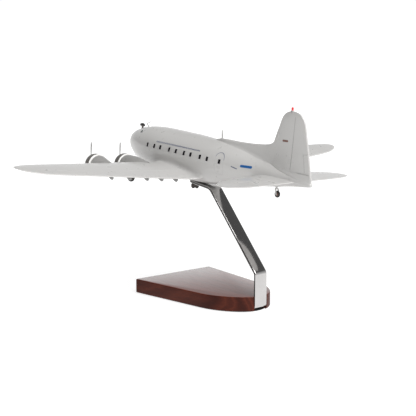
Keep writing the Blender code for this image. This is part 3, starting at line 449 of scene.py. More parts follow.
def ribbon(name, F, pts, width, mat, lift=0.04, depth=0.12, step=0.8, closed=False, **kw):
    """Thin raised line following pts (a, b) on a surface."""
    P = np.array(pts, float)
    if closed:
        P = np.vstack([P, P[:1]])
    seg = np.linalg.norm(np.diff(P, axis=0), axis=1)
    cum = np.r_[0, np.cumsum(seg)]
    n = max(2, int(cum[-1] / step) + 1)
    t = np.linspace(0, cum[-1], n)
    Q = np.stack([np.interp(t, cum, P[:, 0]), np.interp(t, cum, P[:, 1])], 1)
    D = np.gradient(Q, axis=0)
    D /= np.maximum(np.linalg.norm(D, axis=1, keepdims=True), 1e-9)
    N = np.stack([-D[:, 1], D[:, 0]], 1) * width / 2
    L, R = Q + N, Q - N
    rings = np.stack([F(L[:, 0], L[:, 1], lift), F(R[:, 0], R[:, 1], lift), F(R[:, 0], R[:, 1], -depth),
                      F(L[:, 0], L[:, 1], -depth)], 1)
    return skin(name, rings, mat, sharp=30.0, **kw)


def bars(name, F, items, mat, slot="grey_paint"):
    """One mesh of small thin plates, each (a, b, width, height), lying on a surface."""
    verts, faces = [], []
    for a, b, w, h in items:
        grid = [(a + w * (i / 3 - 0.5), b + h * (j / 3 - 0.5)) for j in range(4) for i in range(4)]
        A, B = np.array([g[0] for g in grid]), np.array([g[1] for g in grid])
        base = len(verts)
        verts += list(F(A, B, 0.05)) + list(F(A, B, -0.2))
        for j in range(3):
            for i in range(3):
                q = [base + j * 4 + i, base + j * 4 + i + 1, base + (j + 1) * 4 + i + 1, base + (j + 1) * 4 + i]
                faces += [tuple(q), tuple(x + 16 for x in q[::-1])]
        rim = [0, 1, 2, 3, 7, 11, 15, 14, 13, 12, 8, 4]
        for u, v in zip(rim, rim[1:] + rim[:1]):
            faces.append((base + u, base + v, base + 16 + v, base + 16 + u))
    return link_mesh(name, verts, faces, mat, sharp=50.0, slot=slot)


def rounded_rect(cx, cy, w, h, r, n=5):
    out = []
    for sx, sy, a0 in ((1, 1, 0), (-1, 1, 90), (-1, -1, 180), (1, -1, 270)):
        for k in range(n + 1):
            a = math.radians(a0 + 90 * k / n)
            out.append((cx + sx * (w / 2 - r) + r * math.cos(a), cy + sy * (h / 2 - r) + r * math.sin(a)))
    return out


# ------------------------------------------------------------------ fuselage
def fuselage_skin():
    s = np.unique(np.concatenate([NOSE_S + 0.9 * (np.linspace(0.12, 1, 26) ** 2), np.linspace(17.4, 40, 60),
                                  np.linspace(40, 300, 150), np.linspace(300, 313.6, 14),
                                  315.2 - 1.6 * (1 - np.linspace(0, 0.93, 8)) ** 2]))
    m = 144
    th = 2 * np.pi * np.arange(m) / m
    r, c = FR(s), FC(s)
    # near the two ends the table's straight last span is swapped for a true round
    nose = s < NOSE_S + 1.0
    r = np.where(nose, 4.1 * np.sqrt(np.maximum(s - NOSE_S, 0)), r)
    end = s > 313.8
    r = np.where(end, 2.1 * np.sqrt(np.maximum(1 - ((s - 313.8) / 1.4) ** 2, 0.0)), r)
    P = W(s[:, None], r[:, None] * np.sin(th)[None], c[:, None] + r[:, None] * np.cos(th)[None])
    return skin("fuselage_skin", P, M_PAINT, pole0=W(NOSE_S, 0, NOSE_Z), pole1=W(315.2, 0, -6.2), body=None, sharp=60.0)


def F_side(side):
    return lambda s, z, off: W(s, side * fus_y(s, z, off), z)


def F_top(phi0=0.0):
    """Map (station, angle in mm of arc at 25 mm radius from the crown) to the skin."""
    return lambda s, a, off: W(s, (FR(s) + off) * np.sin(a / 25.0), FC(s) + (FR(s) + off) * np.cos(a / 25.0))


fus = fuselage_skin()
WINDOWS = [(77.3, 9.5), (90.7, 9.4), (101.9, 9.1), (118.3, 8.5), (130.3, 8.0), (144.2, 7.5), (155.2, 7.0),
           (170.1, 6.3), (181.2, 5.5), (199.2, 4.6)]
# window recesses, cut by one cutter
cut_v, cut_f = [], []
for side in (1, -1):
    for s, z in WINDOWS:
        ring = rounded_rect(s, z, 3.5, 4.7, 0.5, 4)
        base = len(cut_v)
        for off in (-0.45, 1.5):
            for a, b in ring:
                p = W(a, side * float(fus_y(a, b, 0.0) + off), b)
                cut_v.append(p)
        k = len(ring)
        cut_f.append(tuple(range(base, base + k)))
        cut_f.append(tuple(range(base + 2 * k - 1, base + k - 1, -1)))
        cut_f += [(base + i, base + (i + 1) % k, base + k + (i + 1) % k, base + k + i) for i in range(k)]


def apply_boolean(ob, cutter, op="DIFFERENCE"):
    m = ob.modifiers.new("cut", "BOOLEAN")
    m.operation = op
    m.solver = "EXACT"
    m.object = cutter
    bpy.context.view_layer.update()
    dg = bpy.context.evaluated_depsgraph_get()
    me = bpy.data.meshes.new_from_object(ob.evaluated_get(dg))
    ob.modifiers.clear()
    old = ob.data
    ob.data = me
    bpy.data.meshes.remove(old)
    cm = cutter.data
    bpy.data.objects.remove(cutter, do_unlink=True)
    bpy.data.meshes.remove(cm)
    ob.data.shade_smooth()
    ob.data.set_sharp_from_angle(angle=math.radians(40))


cutter = link_mesh("window_cutter", cut_v, cut_f, M_PAINT, body=None)
apply_boolean(fus, cutter)
finish_piece(fus, "airframe", ("fuselage",))
for side, n in ((1, "left"), (-1, "right")):
    for k, (s, z) in enumerate(WINDOWS):
        plate_patch("window_%s_%02d" % (n, k + 1), F_side(side), rounded_rect(s, z, 3.44, 4.64, 0.47, 4), M_GLASS,
                    lift=-0.06, depth=0.42, slot="black_gloss")


# ------------------------------------------------------------------ wings
def wing_line(y):
    y = np.asarray(y, float)
    u = np.clip((y - WING_ROUND_Y) / (WING_TIP_Y - WING_ROUND_Y), 0, 1)
    keep = np.sqrt(np.maximum(0, 1 - u * u))
    le, te = WING_LE[0] + WING_LE[1] * y, WING_TE[0] + WING_TE[1] * y
    zl, zt = WING_LE_Z[0] + WING_LE_Z[1] * y, WING_TE_Z[0] + WING_TE_Z[1] * y
    mid, zm = le + 0.48 * (te - le), zl + 0.48 * (zt - zl)
    lift = 1.4 * u * u
    t = WING_T[0] + (WING_T[1] - WING_T[0]) * np.minimum(1.0, y / WING_TIP_Y)
    return (mid + (le - mid) * keep, zm + (zl - zm) * keep + lift,
            mid + (te - mid) * keep, zm + (zt - zm) * keep + lift, t, keep)


def foil(f, t):
    return 5 * t * (0.2969 * np.sqrt(f) - 0.1260 * f - 0.3516 * f ** 2 + 0.2843 * f ** 3 - 0.1036 * f ** 4)


def wing_point(f, y, upper, edge=0.55, off=0.0):
    """Point (s, z) on the wing skin at chord fraction f and span y."""
    ls, lz, tsn, tz, t, keep = wing_line(y)
    chord = tsn - ls
    half = foil(f, t) * chord + edge * keep * f ** 1.5 * np.sqrt(np.clip((1.0 - f) / 0.008, 0, 1)) + off
    cam = 4 * WING_CAMBER * f * (1 - f) * chord
    sgn = 1.0 if upper else -1.0
    return ls + f * chord, lz + f * (tz - lz) + cam + sgn * half


def chord_grid(extra=(), n=46):
    f = 0.5 * (1 - np.cos(np.pi * np.linspace(0, 1, n)))
    add = [0.0]
    for e in extra:
        add += [e - 0.0028, e, e + 0.0028]
    add += [0.9925, 0.995, 0.997, 0.9985, 0.9995]
    f = np.unique(np.concatenate([f, add]))
    keep = [0]
    for i in range(1, len(f)):
        if f[i] - f[keep[-1]] > 0.0004:
            keep.append(i)
    return f[keep]


def groove(f, y, lines, depth):
    """Depth of engraved lines: ('span', f0, y0, y1) or ('chord', y0, f0, f1)."""
    g = np.zeros(np.broadcast(f, y).shape)
    for kind, at0, a, b in lines:
        if kind == "span":
            g = np.maximum(g, np.where((np.abs(f - at0) < 1e-4) & (y >= a - 1e-3) & (y <= b + 1e-3), depth, 0))
        else:
            g = np.maximum(g, np.where((np.abs(y - at0) < 1e-3) & (f >= a - 1e-4) & (f <= b + 1e-3), depth, 0))
    return g


WING_LINES = (("span", 0.745, 30.0, 118.0), ("span", 0.765, 118.0, 206.0), ("chord", 30.0, 0.745, 0.999),
              ("chord", 118.0, 0.745, 0.999), ("chord", 206.0, 0.765, 0.999),
              ("chord", 148.0, 0.905, 0.999), ("span", 0.905, 148.0, 190.0), ("chord", 190.0, 0.905, 0.999))


def wing_skin(side, name):
    f = chord_grid((0.745, 0.765, 0.905))
    ys = np.concatenate([np.linspace(10, 193, 84), 193 + (WING_TIP_Y - 0.02 - 193) * np.sin(np.linspace(0.02, 1, 34) * np.pi / 2)])
    for e in (30.0, 118.0, 148.0, 190.0, 206.0):
        ys = np.concatenate([ys, [e - 0.16, e, e + 0.16]])
    ys = np.unique(ys)
    F, Y = np.meshgrid(f, ys)
    rings = []
    g = groove(F, Y, WING_LINES, 0.09)
    su, zu = wing_point(F, Y, True)
    sl, zl = wing_point(F, Y, False)
    zu = zu - g
    zl = zl + g
    up = W(su, side * Y, zu)
    lo = W(sl, side * Y, zl)
    P = np.concatenate([up, lo[:, -2:0:-1]], 1)
    tip = P[-1].mean(0)
    return skin(name, P, M_PAINT, pole1=tip, sharp=24.0)


for side, n in ((1, "left"), (-1, "right")):
    w = wing_skin(side, "wing_skin_" + n)
    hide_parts("wing_" + n)

# wing-root fillets: a smooth fairing that widens towards the trailing edge
def wing_fillet(side, name):
    f = chord_grid((), 40)
    fr = np.concatenate([f, f[-2:0:-1]])
    upper = np.concatenate([np.ones(len(f), bool), np.zeros(len(f) - 2, bool)])
    # intersection of each chord line with the fuselage
    y = np.full(len(fr), 22.0)
    for _ in range(30):
        s = np.empty(len(fr))
        z = np.empty(len(fr))
        for k in (True, False):
            i = upper == k
            s[i], z[i] = wing_point(fr[i], y[i], k)
        y = 0.5 * y + 0.5 * np.maximum(fus_y(s, z), 6.0)
    y0, s0, z0 = y, s, z
    grow = np.where(upper, 4.0 + 11.0 * fr ** 2, 2.0 + 3.0 * fr ** 2)
    ya = y0 + grow
    sa, za = np.empty(len(fr)), np.empty(len(fr))
    for k in (True, False):
        i = upper == k
        sa[i], za[i] = wing_point(fr[i], ya[i], k, off=0.03)
    A = np.stack([sa, ya, za], 1)
    P0 = np.stack([s0, y0, z0], 1)
    phi0 = np.arctan2(y0, z0 - FC(s0))
    sgn = np.where(upper, -1.0, 1.0)
    lift = np.where(upper, 4.0 + 7.0 * fr ** 2, 2.0 + 1.5 * fr ** 2)
    phiB = phi0 + sgn * lift / FR(s0)
    sB = s0 + 9.0 * fr ** 4 - 2.0 * (1 - fr) ** 4
    B = np.stack([sB, (FR(sB) + 0.03) * np.sin(phiB), FC(sB) + (FR(sB) + 0.03) * np.cos(phiB)], 1)
    C = P0.copy()
    C[:, 0] += 4.0 * fr ** 4
    n = 14
    rings = []
    for i in range(n + 1):
        t = i / n
        Q = (1 - t) ** 2 * A + 2 * t * (1 - t) * C + t * t * B
        rings.append(W(Q[:, 0], side * Q[:, 1], Q[:, 2]))
    # hidden inner return so that the piece is one closed body
    inner = W(s0, side * (y0 - 4.0), z0 * 0.96 - 0.4)
    rings.append(inner)
    P = np.stack(rings, 0)
    return skin(name, P, M_PAINT, sharp=80.0)


for side, n in ((1, "left"), (-1, "right")):
    wing_fillet(side, "wing_root_fairing_" + n)

# hinge fairings under the trailing edges, coloured dark grey as painted shade on their undersides
for side, n in ((1, "left"), (-1, "right")):
    for k, y in enumerate((47.0, 65.4, 83.6, 105.0, 126.5)):
        ls, lz, te, tz, t, _ = [float(v) for v in wing_line(y)]
        chord = te - ls
        rings = []
        for q in np.linspace(0, 1, 15):
            s = te - 10.5 + 9.6 * q
            f = (s - ls) / chord
            top = float(wing_point(np.array(f), y, False)[1]) + 0.6
            depth = 0.9 + 3.0 * math.sin(math.pi * min(1.0, q * 0.80 / 0.93) ** 1.5) ** 0.8 if q > 0 else 0.7
            hw = 0.3 + 0.75 * math.sin(math.pi * (0.08 + 0.84 * q)) ** 0.7
            ring = []
            for a in np.linspace(0, 2 * np.pi, 16, endpoint=False):
                ring.append(W(s, side * (y + hw * math.sin(a)), top - depth * 0.5 * (1 - math.cos(a))))
            rings.append(np.array(ring))
        skin("hinge_fairing_%s_%d" % (n, k + 1), np.array(rings), M_FAIR_PAINTED_SHADE, slot="grey_paint")


# ------------------------------------------------------------------ tailplane
def tail_edges(y):
    u = np.clip((y - TAIL_ROUND_Y) / (TAIL_TIP_Y - TAIL_ROUND_Y), 0, 1)
    keep = np.sqrt(np.maximum(0, 1 - u * u))
    mid = 281.0
    le = mid + (TAIL_LE[0] + TAIL_LE[1] * y - mid) * keep
    te = mid + (TAIL_TE - mid) * keep
    return le, te, keep


TAIL_LINES = (("span", 0.60, 12.0, 76.0), ("chord", 12.0, 0.60, 0.999), ("chord", 76.0, 0.60, 0.999),
              ("span", 0.86, 16.0, 46.0), ("chord", 46.0, 0.86, 0.999), ("chord", 16.0, 0.86, 0.999))
for side, n in ((1, "left"), (-1, "right")):
    f = chord_grid((0.60, 0.86), 40)
    ys = np.concatenate([np.linspace(1.5, 54, 40), 54 + (TAIL_TIP_Y - 0.02 - 54) * np.sin(np.linspace(0.02, 1, 34) * np.pi / 2)])
    for e in (12.0, 16.0, 46.0, 76.0):
        ys = np.concatenate([ys, [e - 0.14, e, e + 0.14]])
    ys = np.unique(ys)
    Fm, Ym = np.meshgrid(f, ys)
    le, te, keep = tail_edges(Ym)
    chord = te - le
    near = np.exp(-np.maximum(Ym - fus_y(le + Fm * chord, TAIL_Z), 0) / 1.8)
    half = foil(Fm, TAIL_T) * chord + 0.5 * keep * Fm ** 1.5 * np.sqrt(np.clip((1 - Fm) / 0.01, 0, 1))
    half = half * (1 + 0.0 * near) + 1.3 * near * np.sin(np.pi * np.clip(Fm, 0.02, 0.98)) ** 0.4 * (Fm < 0.995) - groove(Fm, Ym, TAIL_LINES, 0.05)
    up = W(le + Fm * chord, side * Ym, TAIL_Z + half)
    lo = W(le + Fm * chord, side * Ym, TAIL_Z - half)
    P = np.concatenate([up, lo[:, -2:0:-1]], 1)
    t_ob = skin("tailplane_skin_" + n, P, M_PAINT, pole1=P[-1].mean(0), sharp=24.0)
    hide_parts("tailplane_" + n)


# ------------------------------------------------------------------ fin, rudder lines, dorsal
def fin_edges(z):
    return pchip(FIN, z, 1), pchip(FIN, z, 2)


HINGE = ((-7.0, 286.2), (5.7, 286.5), (22.9, 288.3), (57.4, 289.9), (64.5, 290.2))


def fin_half(s, z, edge=0.95):
    """Half thickness of the fin at a station and height."""
    le, te = fin_edges(z)
    chord = np.maximum(te - le, 0.05)
    f = np.clip((s - le) / chord, 0, 1)
    t = FIN_T * (1.0 - 0.25 * smooth((z - 52) / 12))
    small = np.clip(chord / 30.0, 0, 1)
    half = foil(f, t) * chord * 1.15 + edge * small * f ** 1.2 * np.sqrt(np.clip((1 - f) / 0.02, 0, 1))
    return half


def fin_skin():
    f = np.unique(np.concatenate([0.5 * (1 - np.cos(np.pi * np.linspace(0, 1, 44))), [0.985, 0.99, 0.994, 0.997, 0.999]]))
    zs = np.unique(np.concatenate([np.linspace(-7, 55, 80), 55 + 9.45 * np.sin(np.linspace(0, 1, 36) * np.pi / 2),
                                   [4.05, 4.2, 4.35]]))
    Fm, Zm = np.meshgrid(f, zs)
    le, te = fin_edges(Zm)
    S = le + Fm * (te - le)
    # pull three columns on to the rudder hinge line
    hinge = pchip(HINGE, Zm, 1)
    fh = (hinge - le) / np.maximum(te - le, 0.1)
    col = np.argmin(np.abs(f - float(np.median(fh[20:80]))))
    lim = (Zm[:, 0] > 4.0) & (Zm[:, 0] < 61.0)
    g = np.zeros_like(S)
    for k, d in ((-1, -0.16), (0, 0.0), (1, 0.16)):
        S[lim, col + k] = hinge[lim, col + k] + d
    g[lim, col] = 0.24
    # the rudder's foot
    row = int(np.argmin(np.abs(zs - 4.2)))
    foot = (S[row] > hinge[row]) & (S[row] < te[row] - 0.8)
    g[row, foot] = 0.22
    top = FC(S) + FR(S)
    flare = 1.5 * np.exp(-np.maximum(Zm - top, 0) / 1.3) * np.sin(np.pi * np.clip(Fm, 0, 1)) ** 0.7
    H = fin_half(S, Zm) + flare - g
    L = W(S, H, Zm)
    R = W(S, -H, Zm)
    P = np.concatenate([L, R[:, -2:0:-1]], 1)
    ob = skin("fin_skin", P, M_PAINT, pole1=P[-1].mean(0), sharp=24.0)
    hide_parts("fin")
    return ob


fin_skin()
DORSAL = ((168.0, 24.0), (172.0, 25.0), (178.0, 26.3), (190.0, 26.4), (208.0, 25.9), (225.0, 26.0), (242.0, 26.9),
          (252.0, 28.0), (258.0, 30.0), (263.0, 34.5), (268.0, 42.0))


def dorsal_skin():
    s = np.concatenate([np.linspace(168, 256, 100), np.linspace(256.6, 268, 24)])
    rings = []
    for q in s:
        top = float(pchip(DORSAL, q, 1))
        wid = 0.25 + 2.0 * float(smooth((q - 168) / 30))
        zf = float(FR(q) + FC(q))
        h = max(top - zf, 0.15)
        left = []
        n = 22
        for k in range(n + 1):
            t = k / n
            z = zf - 1.4 + (top - zf + 1.4) * (1 - (1 - t) ** 1.7)
            rel = max(0.0, min(1.0, (top - z) / 2.2 / max(0.3, min(1.0, h / 3))))
            y = wid * math.sqrt(max(0.0, 1 - (1 - rel) ** 2)) + 2.4 * min(1.0, h / 6) * (1 - float(smooth((q - 238) / 24))) * math.exp(-max(z - zf + 0.5, -0.9) / 2.0)
            if k == n:
                y = 0.0
            left.append((y, z))
        ring = [W(q, y, z) for y, z in left] + [W(q, -y, z) for y, z in left[-2::-1]]
        rings.append(np.array(ring))
    return skin("dorsal_fairing", np.array(rings), M_PAINT, sharp=50.0)


dorsal_skin()


def F_fin(side):
    return lambda s, z, off: W(s, side * (fin_half(s, z) + off), z)


# ------------------------------------------------------------------ nacelles, cowls, engines, propellers
for label, ey, es, ez in ENGINES:
    o = W(es, ey, ez)
    inner = "inner" in label
    tab = NAC_IN if inner else NAC_OUT
    d = np.concatenate([np.linspace(13.0, 60, 60), np.linspace(61, tab[-1][0] - 0.05, 24)])
    r = pchip(tab, d, 1)
    prof = [(0.0, -13.0)] + [(float(a), -float(b)) for a, b in zip(r, d)] + [(0.0, -tab[-1][0])]
    # nacelle skin in the darker grey: painted shade
    nac = turned("nacelle_skin_" + label, prof, o, AX, M_NAC_PAINTED_SHADE, 72, sharp=50.0)
    if inner:
        n = "left" if ey > 0 else "right"
        # open wheel well in the belly of the nacelle
        wc = W(83.0, ey, -24.2)
        cyl = turned("well_cutter_" + label, [(0.0, -2.55), (7.5, -2.55), (7.5, 2.55), (0.0, 2.55)], wc, (0, 1, 0), M_FAIR_PAINTED_SHADE, 40,
                     body=None)
        # keep the finish calls until after the cut
        nac.parent = None
        apply_boolean(nac, cyl)
        finish_piece(nac, "airframe")
    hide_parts("nacelle_" + label)
    # cowl with a rolled lip, its rear band in near-white as a painted highlight of polished metal, and the cowl flap
    # ring
    f, b = -4.4, -13.0
    cowl = dense([(9.9, f - 1.2), (10.1, f - 0.35), (10.7, f - 0.02), (11.3, f - 0.25), (11.9, f - 1.5), (12.35, f - 3.4),
                  (12.4, f - 5.6), (12.15, b + 0.2)], 0.35) + [(12.15, b), (11.3, b)] + \
        dense([(11.2, b + 0.4), (11.3, f - 5.0), (10.9, f - 2.6), (9.9, f - 1.2)], 0.6)[:-1]
    cw = turned("cowl_skin_" + label, cowl, o, AX, M_COWL_PAINT_AND_PAINTED_SHADE, 96, sharp=40.0, slot="cowl_paint")
    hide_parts("cowl_" + label)
    band = dense([(12.12, -12.9), (12.32, -13.0), (12.3, -13.8), (12.05, -14.6), (11.8, -14.75)], 0.3) + \
        [(10.9, -14.75), (10.9, -12.9)]
    turned("cowl_band_" + label, band, o, AX, M_BAND_PAINTED_HIGHLIGHT, 96, sharp=40.0, slot="grey_paint")
    # radial engine
    case = dense([(0.0, -1.9), (1.6, -1.95), (2.4, -2.3), (3.3, -3.0), (4.0, -4.4), (4.5, -6.4), (5.3, -8.2), (5.5, -10.0),
                  (5.5, -13.2)], 0.4) + [(0.0, -13.2)]
    case = [p for p in case if p[0] > 1.07 or True]
    ec = turned("crankcase_" + label, case, o, AX, M_CASE, 48, slot="engine_metal")
    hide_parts("engine_" + label)
    back_plate = turned("engine_bulkhead_" + label, [(1.2, -12.2), (10.9, -12.2), (10.9, -12.9), (1.2, -12.9)], o, AX, M_ENGINE, 64,
                        slot="engine_metal")
    for k in range(9):
        a = 2 * math.pi * k / 9
        rad = UPV * math.cos(a) + AX.cross(UPV) * math.sin(a)
        co = Vector(o) - AX * 0.0095
        prof = [(0.0, 4.6)]
        for i in range(7):
            h = 5.2 + i * 0.62
            prof += [(1.55, h), (1.75, h + 0.12), (1.55, h + 0.24), (1.30, h + 0.40)]
        prof += [(1.2, 9.5), (0.6, 9.75), (0.0, 9.8)]
        turned("cylinder_%s_%d" % (label, k + 1), prof, co, rad, M_ENGINE, 20, sharp=30.0, slot="engine_metal")
        # push-rod tube in front of each cylinder
        side_v = AX.cross(rad).normalized()
        for sg in (-1, 1):
            p0 = Vector(o) - AX * 0.0062 + rad * 0.0040 + side_v * 0.00045 * sg
            p1 = Vector(o) - AX * 0.0083 + rad * 0.0092 + side_v * 0.00085 * sg
            L = (p1 - p0).length * 1000
            turned("pushrod_%s_%d%s" % (label, k + 1, "a" if sg < 0 else "b"), [(0.0, 0.0), (0.22, 0.0), (0.22, L), (0.0, L)], p0, p1 - p0, M_STEEL, 8,
                   slot="engine_metal")
    body = label + "_propeller"
    # propeller hub and blades
    hub = dense([(1.5, 1.15), (1.95, 1.0), (2.3, 0.6), (2.35, -0.2), (2.3, -0.9), (1.9, -1.3), (1.3, -1.35)], 0.2)
    hb = turned("propeller_hub_" + label, [(1.1, 1.15)] + hub + [(1.1, -1.35)], o, AX, M_STEEL, 48, body=body, slot="prop_metal")
    yv = Vector((0, 1, 0))
    blade_v, blade_f = [], []
    for k in range(3):
        a = 2 * math.pi * k / 3 + (0.0 if ey > 0 else math.pi)
        rad = UPV * math.cos(a) + yv * math.sin(a)
        tan = AX.cross(rad)
        rows = []
        T = ((1.5, 1.7, 66, 1.5), (3.0, 1.75, 60, 1.35), (4.5, 2.2, 55, 1.0), (7.0, 2.9, 47, 0.75), (10.0, 3.25, 40, 0.62),
             (14.0, 3.25, 33, 0.55), (18.0, 3.0, 28, 0.5), (21.0, 2.6, 25, 0.46), (23.0, 2.0, 23, 0.42), (24.0, 1.1, 22, 0.38),
             (24.25, 0.45, 22, 0.34))
        rr = np.concatenate([np.linspace(1.5, 23, 34), 23 + 1.25 * np.sin(np.linspace(0.12, 1, 10) * np.pi / 2)])
        ch, pt, th = pchip(T, rr, 1), pchip(T, rr, 2), pchip(T, rr, 3)
        m = 20
        P = []
        for r_, c_, p_, t_ in zip(rr, ch, pt, th):
            ang = math.radians(p_)
            ring = []
            for j in range(m):
                q = 2 * math.pi * j / m
                u, v = 0.5 * math.cos(q) * c_, 0.5 * math.sin(q) * t_ * (1 - 0.35 * math.cos(q))
                w1 = u * math.cos(ang) - v * math.sin(ang)
                w2 = u * math.sin(ang) + v * math.cos(ang)
                ring.append(np.array(o) + np.array(rad) * r_ * 1e-3 + np.array(tan) * w1 * 1e-3 + np.array(AX) * w2 * 1e-3)
            P.append(ring)
        bl = skin("propeller_blade_%s_%d" % (label, k + 1), np.array(P), M_PROP, sharp=60.0, body=body, slot="prop_metal")
        cuff = dense([(0.0, 1.0), (1.0, 1.2), (1.12, 1.9), (1.05, 3.2), (0.7, 3.6)], 0.2)
        turned("blade_cuff_%s_%d" % (label, k + 1), cuff + [(0.0, 3.6)], o, rad, M_STEEL, 24, body=body, slot="prop_metal")
    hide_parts("propeller_" + label)
    cap = dense([(0.0, 3.85), (0.55, 3.75), (1.15, 3.35), (1.6, 2.7), (1.85, 1.9), (1.9, 1.35)], 0.15)
    cp = turned("hub_dome_" + label, cap + [(0.0, 1.3)], o, AX, M_STEEL, 40, body=body, slot="prop_metal")
    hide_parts("hub_cap_" + label)
    for nd in ("prop_shaft_" + label,):
        NODES[nd].data.materials.clear()
        NODES[nd].data.materials.append(M_STEEL)

# ------------------------------------------------------------------ wheels
for n, sg in (("left", 1), ("right", -1)):
    c = W(83.0, sg * 51.7, -24.2)
    body = n + "_main_wheel"
    wr, hw = 6.6, 1.8
    tyre = dense([(4.0, hw - 0.25), (4.5, hw), (5.4, hw - 0.05), (6.15, hw - 0.45), (6.5, hw - 1.0), (6.6, 0.35), (6.6, -0.35),
                  (6.5, -(hw - 1.0)), (6.15, -(hw - 0.45)), (5.4, -(hw - 0.05)), (4.5, -hw), (4.0, -(hw - 0.25))], 0.2) + \
        [(3.7, -(hw - 0.7)), (3.7, hw - 0.7)]
    # circumferential tread grooves
    tyre = [(r - (0.14 if (abs(abs(h) - 0.42) < 0.12 and r > 6.2) else 0.0), h) for r, h in tyre]
    ty = turned("main_tyre_" + n, tyre, c, (0, 1, 0), M_RUBBER, 72, body=body, slot="rubber")
    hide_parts("main_wheel_" + n)
    hubp = [(0.7, 1.15), (1.1, 1.2), (1.4, 0.95), (2.4, 0.7), (3.1, 0.85), (3.6, 1.35), (4.02, 1.5), (4.02, -1.5), (3.6, -1.35), (3.1, -0.85),
            (2.4, -0.7), (1.4, -0.95), (1.1, -1.2), (0.7, -1.15)]
    turned("main_wheel_hub_" + n, hubp, c, (0, 1, 0), M_HUB, 56, body=body, slot="rubber")
    NODES["main_axle_" + n].data.materials.clear()
    NODES["main_axle_" + n].data.materials.append(M_STEEL)
ct_ = W(267.8, 0, -21.7)
tyre = dense([(1.9, 0.95), (2.3, 1.15), (2.9, 1.12), (3.35, 0.85), (3.55, 0.4), (3.6, 0.0), (3.55, -0.4), (3.35, -0.85), (2.9, -1.12),
              (2.3, -1.15), (1.9, -0.95)], 0.12) + [(1.8, -0.6), (1.8, 0.6)]
tt = turned("tail_tyre", tyre, ct_, (0, 1, 0), M_RUBBER, 56, body="tail_roller", slot="rubber")
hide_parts("tail_wheel")
turned("tail_wheel_hub", [(0.6, 0.9), (0.95, 0.9), (1.1, 0.6), (1.6, 0.55), (1.95, 0.85), (1.95, -0.85), (1.6, -0.55), (1.1, -0.6),
                          (0.95, -0.9), (0.6, -0.9)], ct_, (0, 1, 0), M_HUB, 40, body="tail_roller", slot="steel")

# tail fork: two tapered legs, a crown and a leg with a dust collar
def bar(name, pts, radii, mat, sides=20, squash=(1.0, 1.0), body="airframe", slot="grey_paint"):
    """Tube through points (s, y, z) mm with given radii; elliptical if squash differs."""
    P = np.array(pts, float)
    seg = np.r_[0, np.cumsum(np.linalg.norm(np.diff(P, axis=0), axis=1))]
    n = max(12, int(seg[-1] / 0.35))
    t = np.linspace(0, seg[-1], n)
    tabs = [[(a, b) for a, b in zip(seg, P[:, k])] for k in range(3)]
    Q = np.stack([pchip(tb, t) for tb in tabs], 1)
    R = pchip([(a, b) for a, b in zip(seg, radii)], t)
    D = np.gradient(Q, axis=0)
    D /= np.linalg.norm(D, axis=1, keepdims=True)
    rings = []
    for q, d, r in zip(Q, D, R):
        v = np.array([0, 1.0, 0]) - d * d[1]
        if np.linalg.norm(v) < 0.2:
            v = np.array([1.0, 0, 0]) - d * d[0]
        v /= np.linalg.norm(v)
        u = np.cross(v, d)
        a = 2 * np.pi * np.arange(sides) / sides
        pts3 = q + r * (np.cos(a)[:, None] * u * squash[0] + np.sin(a)[:, None] * v * squash[1])
        rings.append(W(pts3[:, 0], pts3[:, 1], pts3[:, 2]))
    return skin(name, np.array(rings), mat, sharp=50.0, body=body, slot=slot)


ts, tz, tr = 267.8, -21.7, 3.6
fl = bar("tail_fork_leg_left", [(ts, 2.0, tz - 1.0), (ts - 0.4, 2.0, tz + 1.6), (ts - 1.2, 1.9, tz + tr + 1.2), (ts - 1.5, 1.0, tz + tr + 2.1),
                                (ts - 1.6, 0.0, tz + tr + 2.3)], (0.75, 0.75, 0.85, 0.95, 1.0), M_PAINT, squash=(1.25, 0.6))
bar("tail_fork_leg_right", [(ts, -2.0, tz - 1.0), (ts - 0.4, -2.0, tz + 1.6), (ts - 1.2, -1.9, tz + tr + 1.2), (ts - 1.5, -1.0, tz + tr + 2.1),
                            (ts - 1.6, 0.0, tz + tr + 2.3)], (0.75, 0.75, 0.85, 0.95, 1.0), M_PAINT, squash=(1.25, 0.6))
bar("tail_leg", [(ts - 1.6, 0, tz + tr + 1.7), (ts - 1.6, 0, tz + tr + 3.6), (ts - 1.6, 0, tz + tr + 4.0), (ts - 1.6, 0, -9.0)],
    (1.2, 1.2, 1.5, 1.5), M_PAINT, 28)
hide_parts("tail_fork")
NODES["tail_axle"].data.materials.clear()
NODES["tail_axle"].data.materials.append(M_STEEL)

# ------------------------------------------------------------------ aerials, pitot, beacon
top_n = float(FR(33.0) + FC(33.0))
lh = turned("loop_housing_skin", dense([(0.0, 4.7), (0.6, 4.55), (1.3, 3.8), (1.9, 2.2), (2.15, 0.3), (2.05, -1.5), (1.5, -3.3),
                                        (0.7, -4.5), (0.0, -4.7)], 0.3),
            W(33.0, 0, 27.2), AX, M_GLOSSBLACK, 48, slot="black_gloss")
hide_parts("loop_housing")
ped = bar("loop_pedestal_skin", [(33.0, 0, top_n - 2.0), (33.0, 0, top_n + 0.1), (33.0, 0, top_n + 0.9), (33.0, 0, 26.3)], (1.6, 1.5, 0.95, 0.95), M_PEDESTAL, 32,
          squash=(1.3, 1.0), slot="black_gloss")
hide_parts("loop_pedestal")
mf = bar("aerial_mast_front_skin", [(46.6, 0, float(FR(46.6) + FC(46.6)) - 1.5), (44.2, 0, 27.4), (41.6, 0, 29.6)], (1.05, 0.8, 0.6), M_PAINT, 20, squash=(1.0, 0.5))
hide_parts("aerial_mast_front")
bar("aerial_rod_front", [(41.4, 0, 29.3), (45.5, 0, 30.9), (50.6, 0, 33.1)], (0.4, 0.36, 0.24), M_PAINT, 12)
mm_ = bar("aerial_mast_mid_skin", [(179.5, 0, 22.5), (179.2, 0, 29.0), (178.6, 0, 35.2)], (1.35, 1.15, 0.8), M_PAINT, 20, squash=(1.15, 0.42))
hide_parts("aerial_mast_mid")
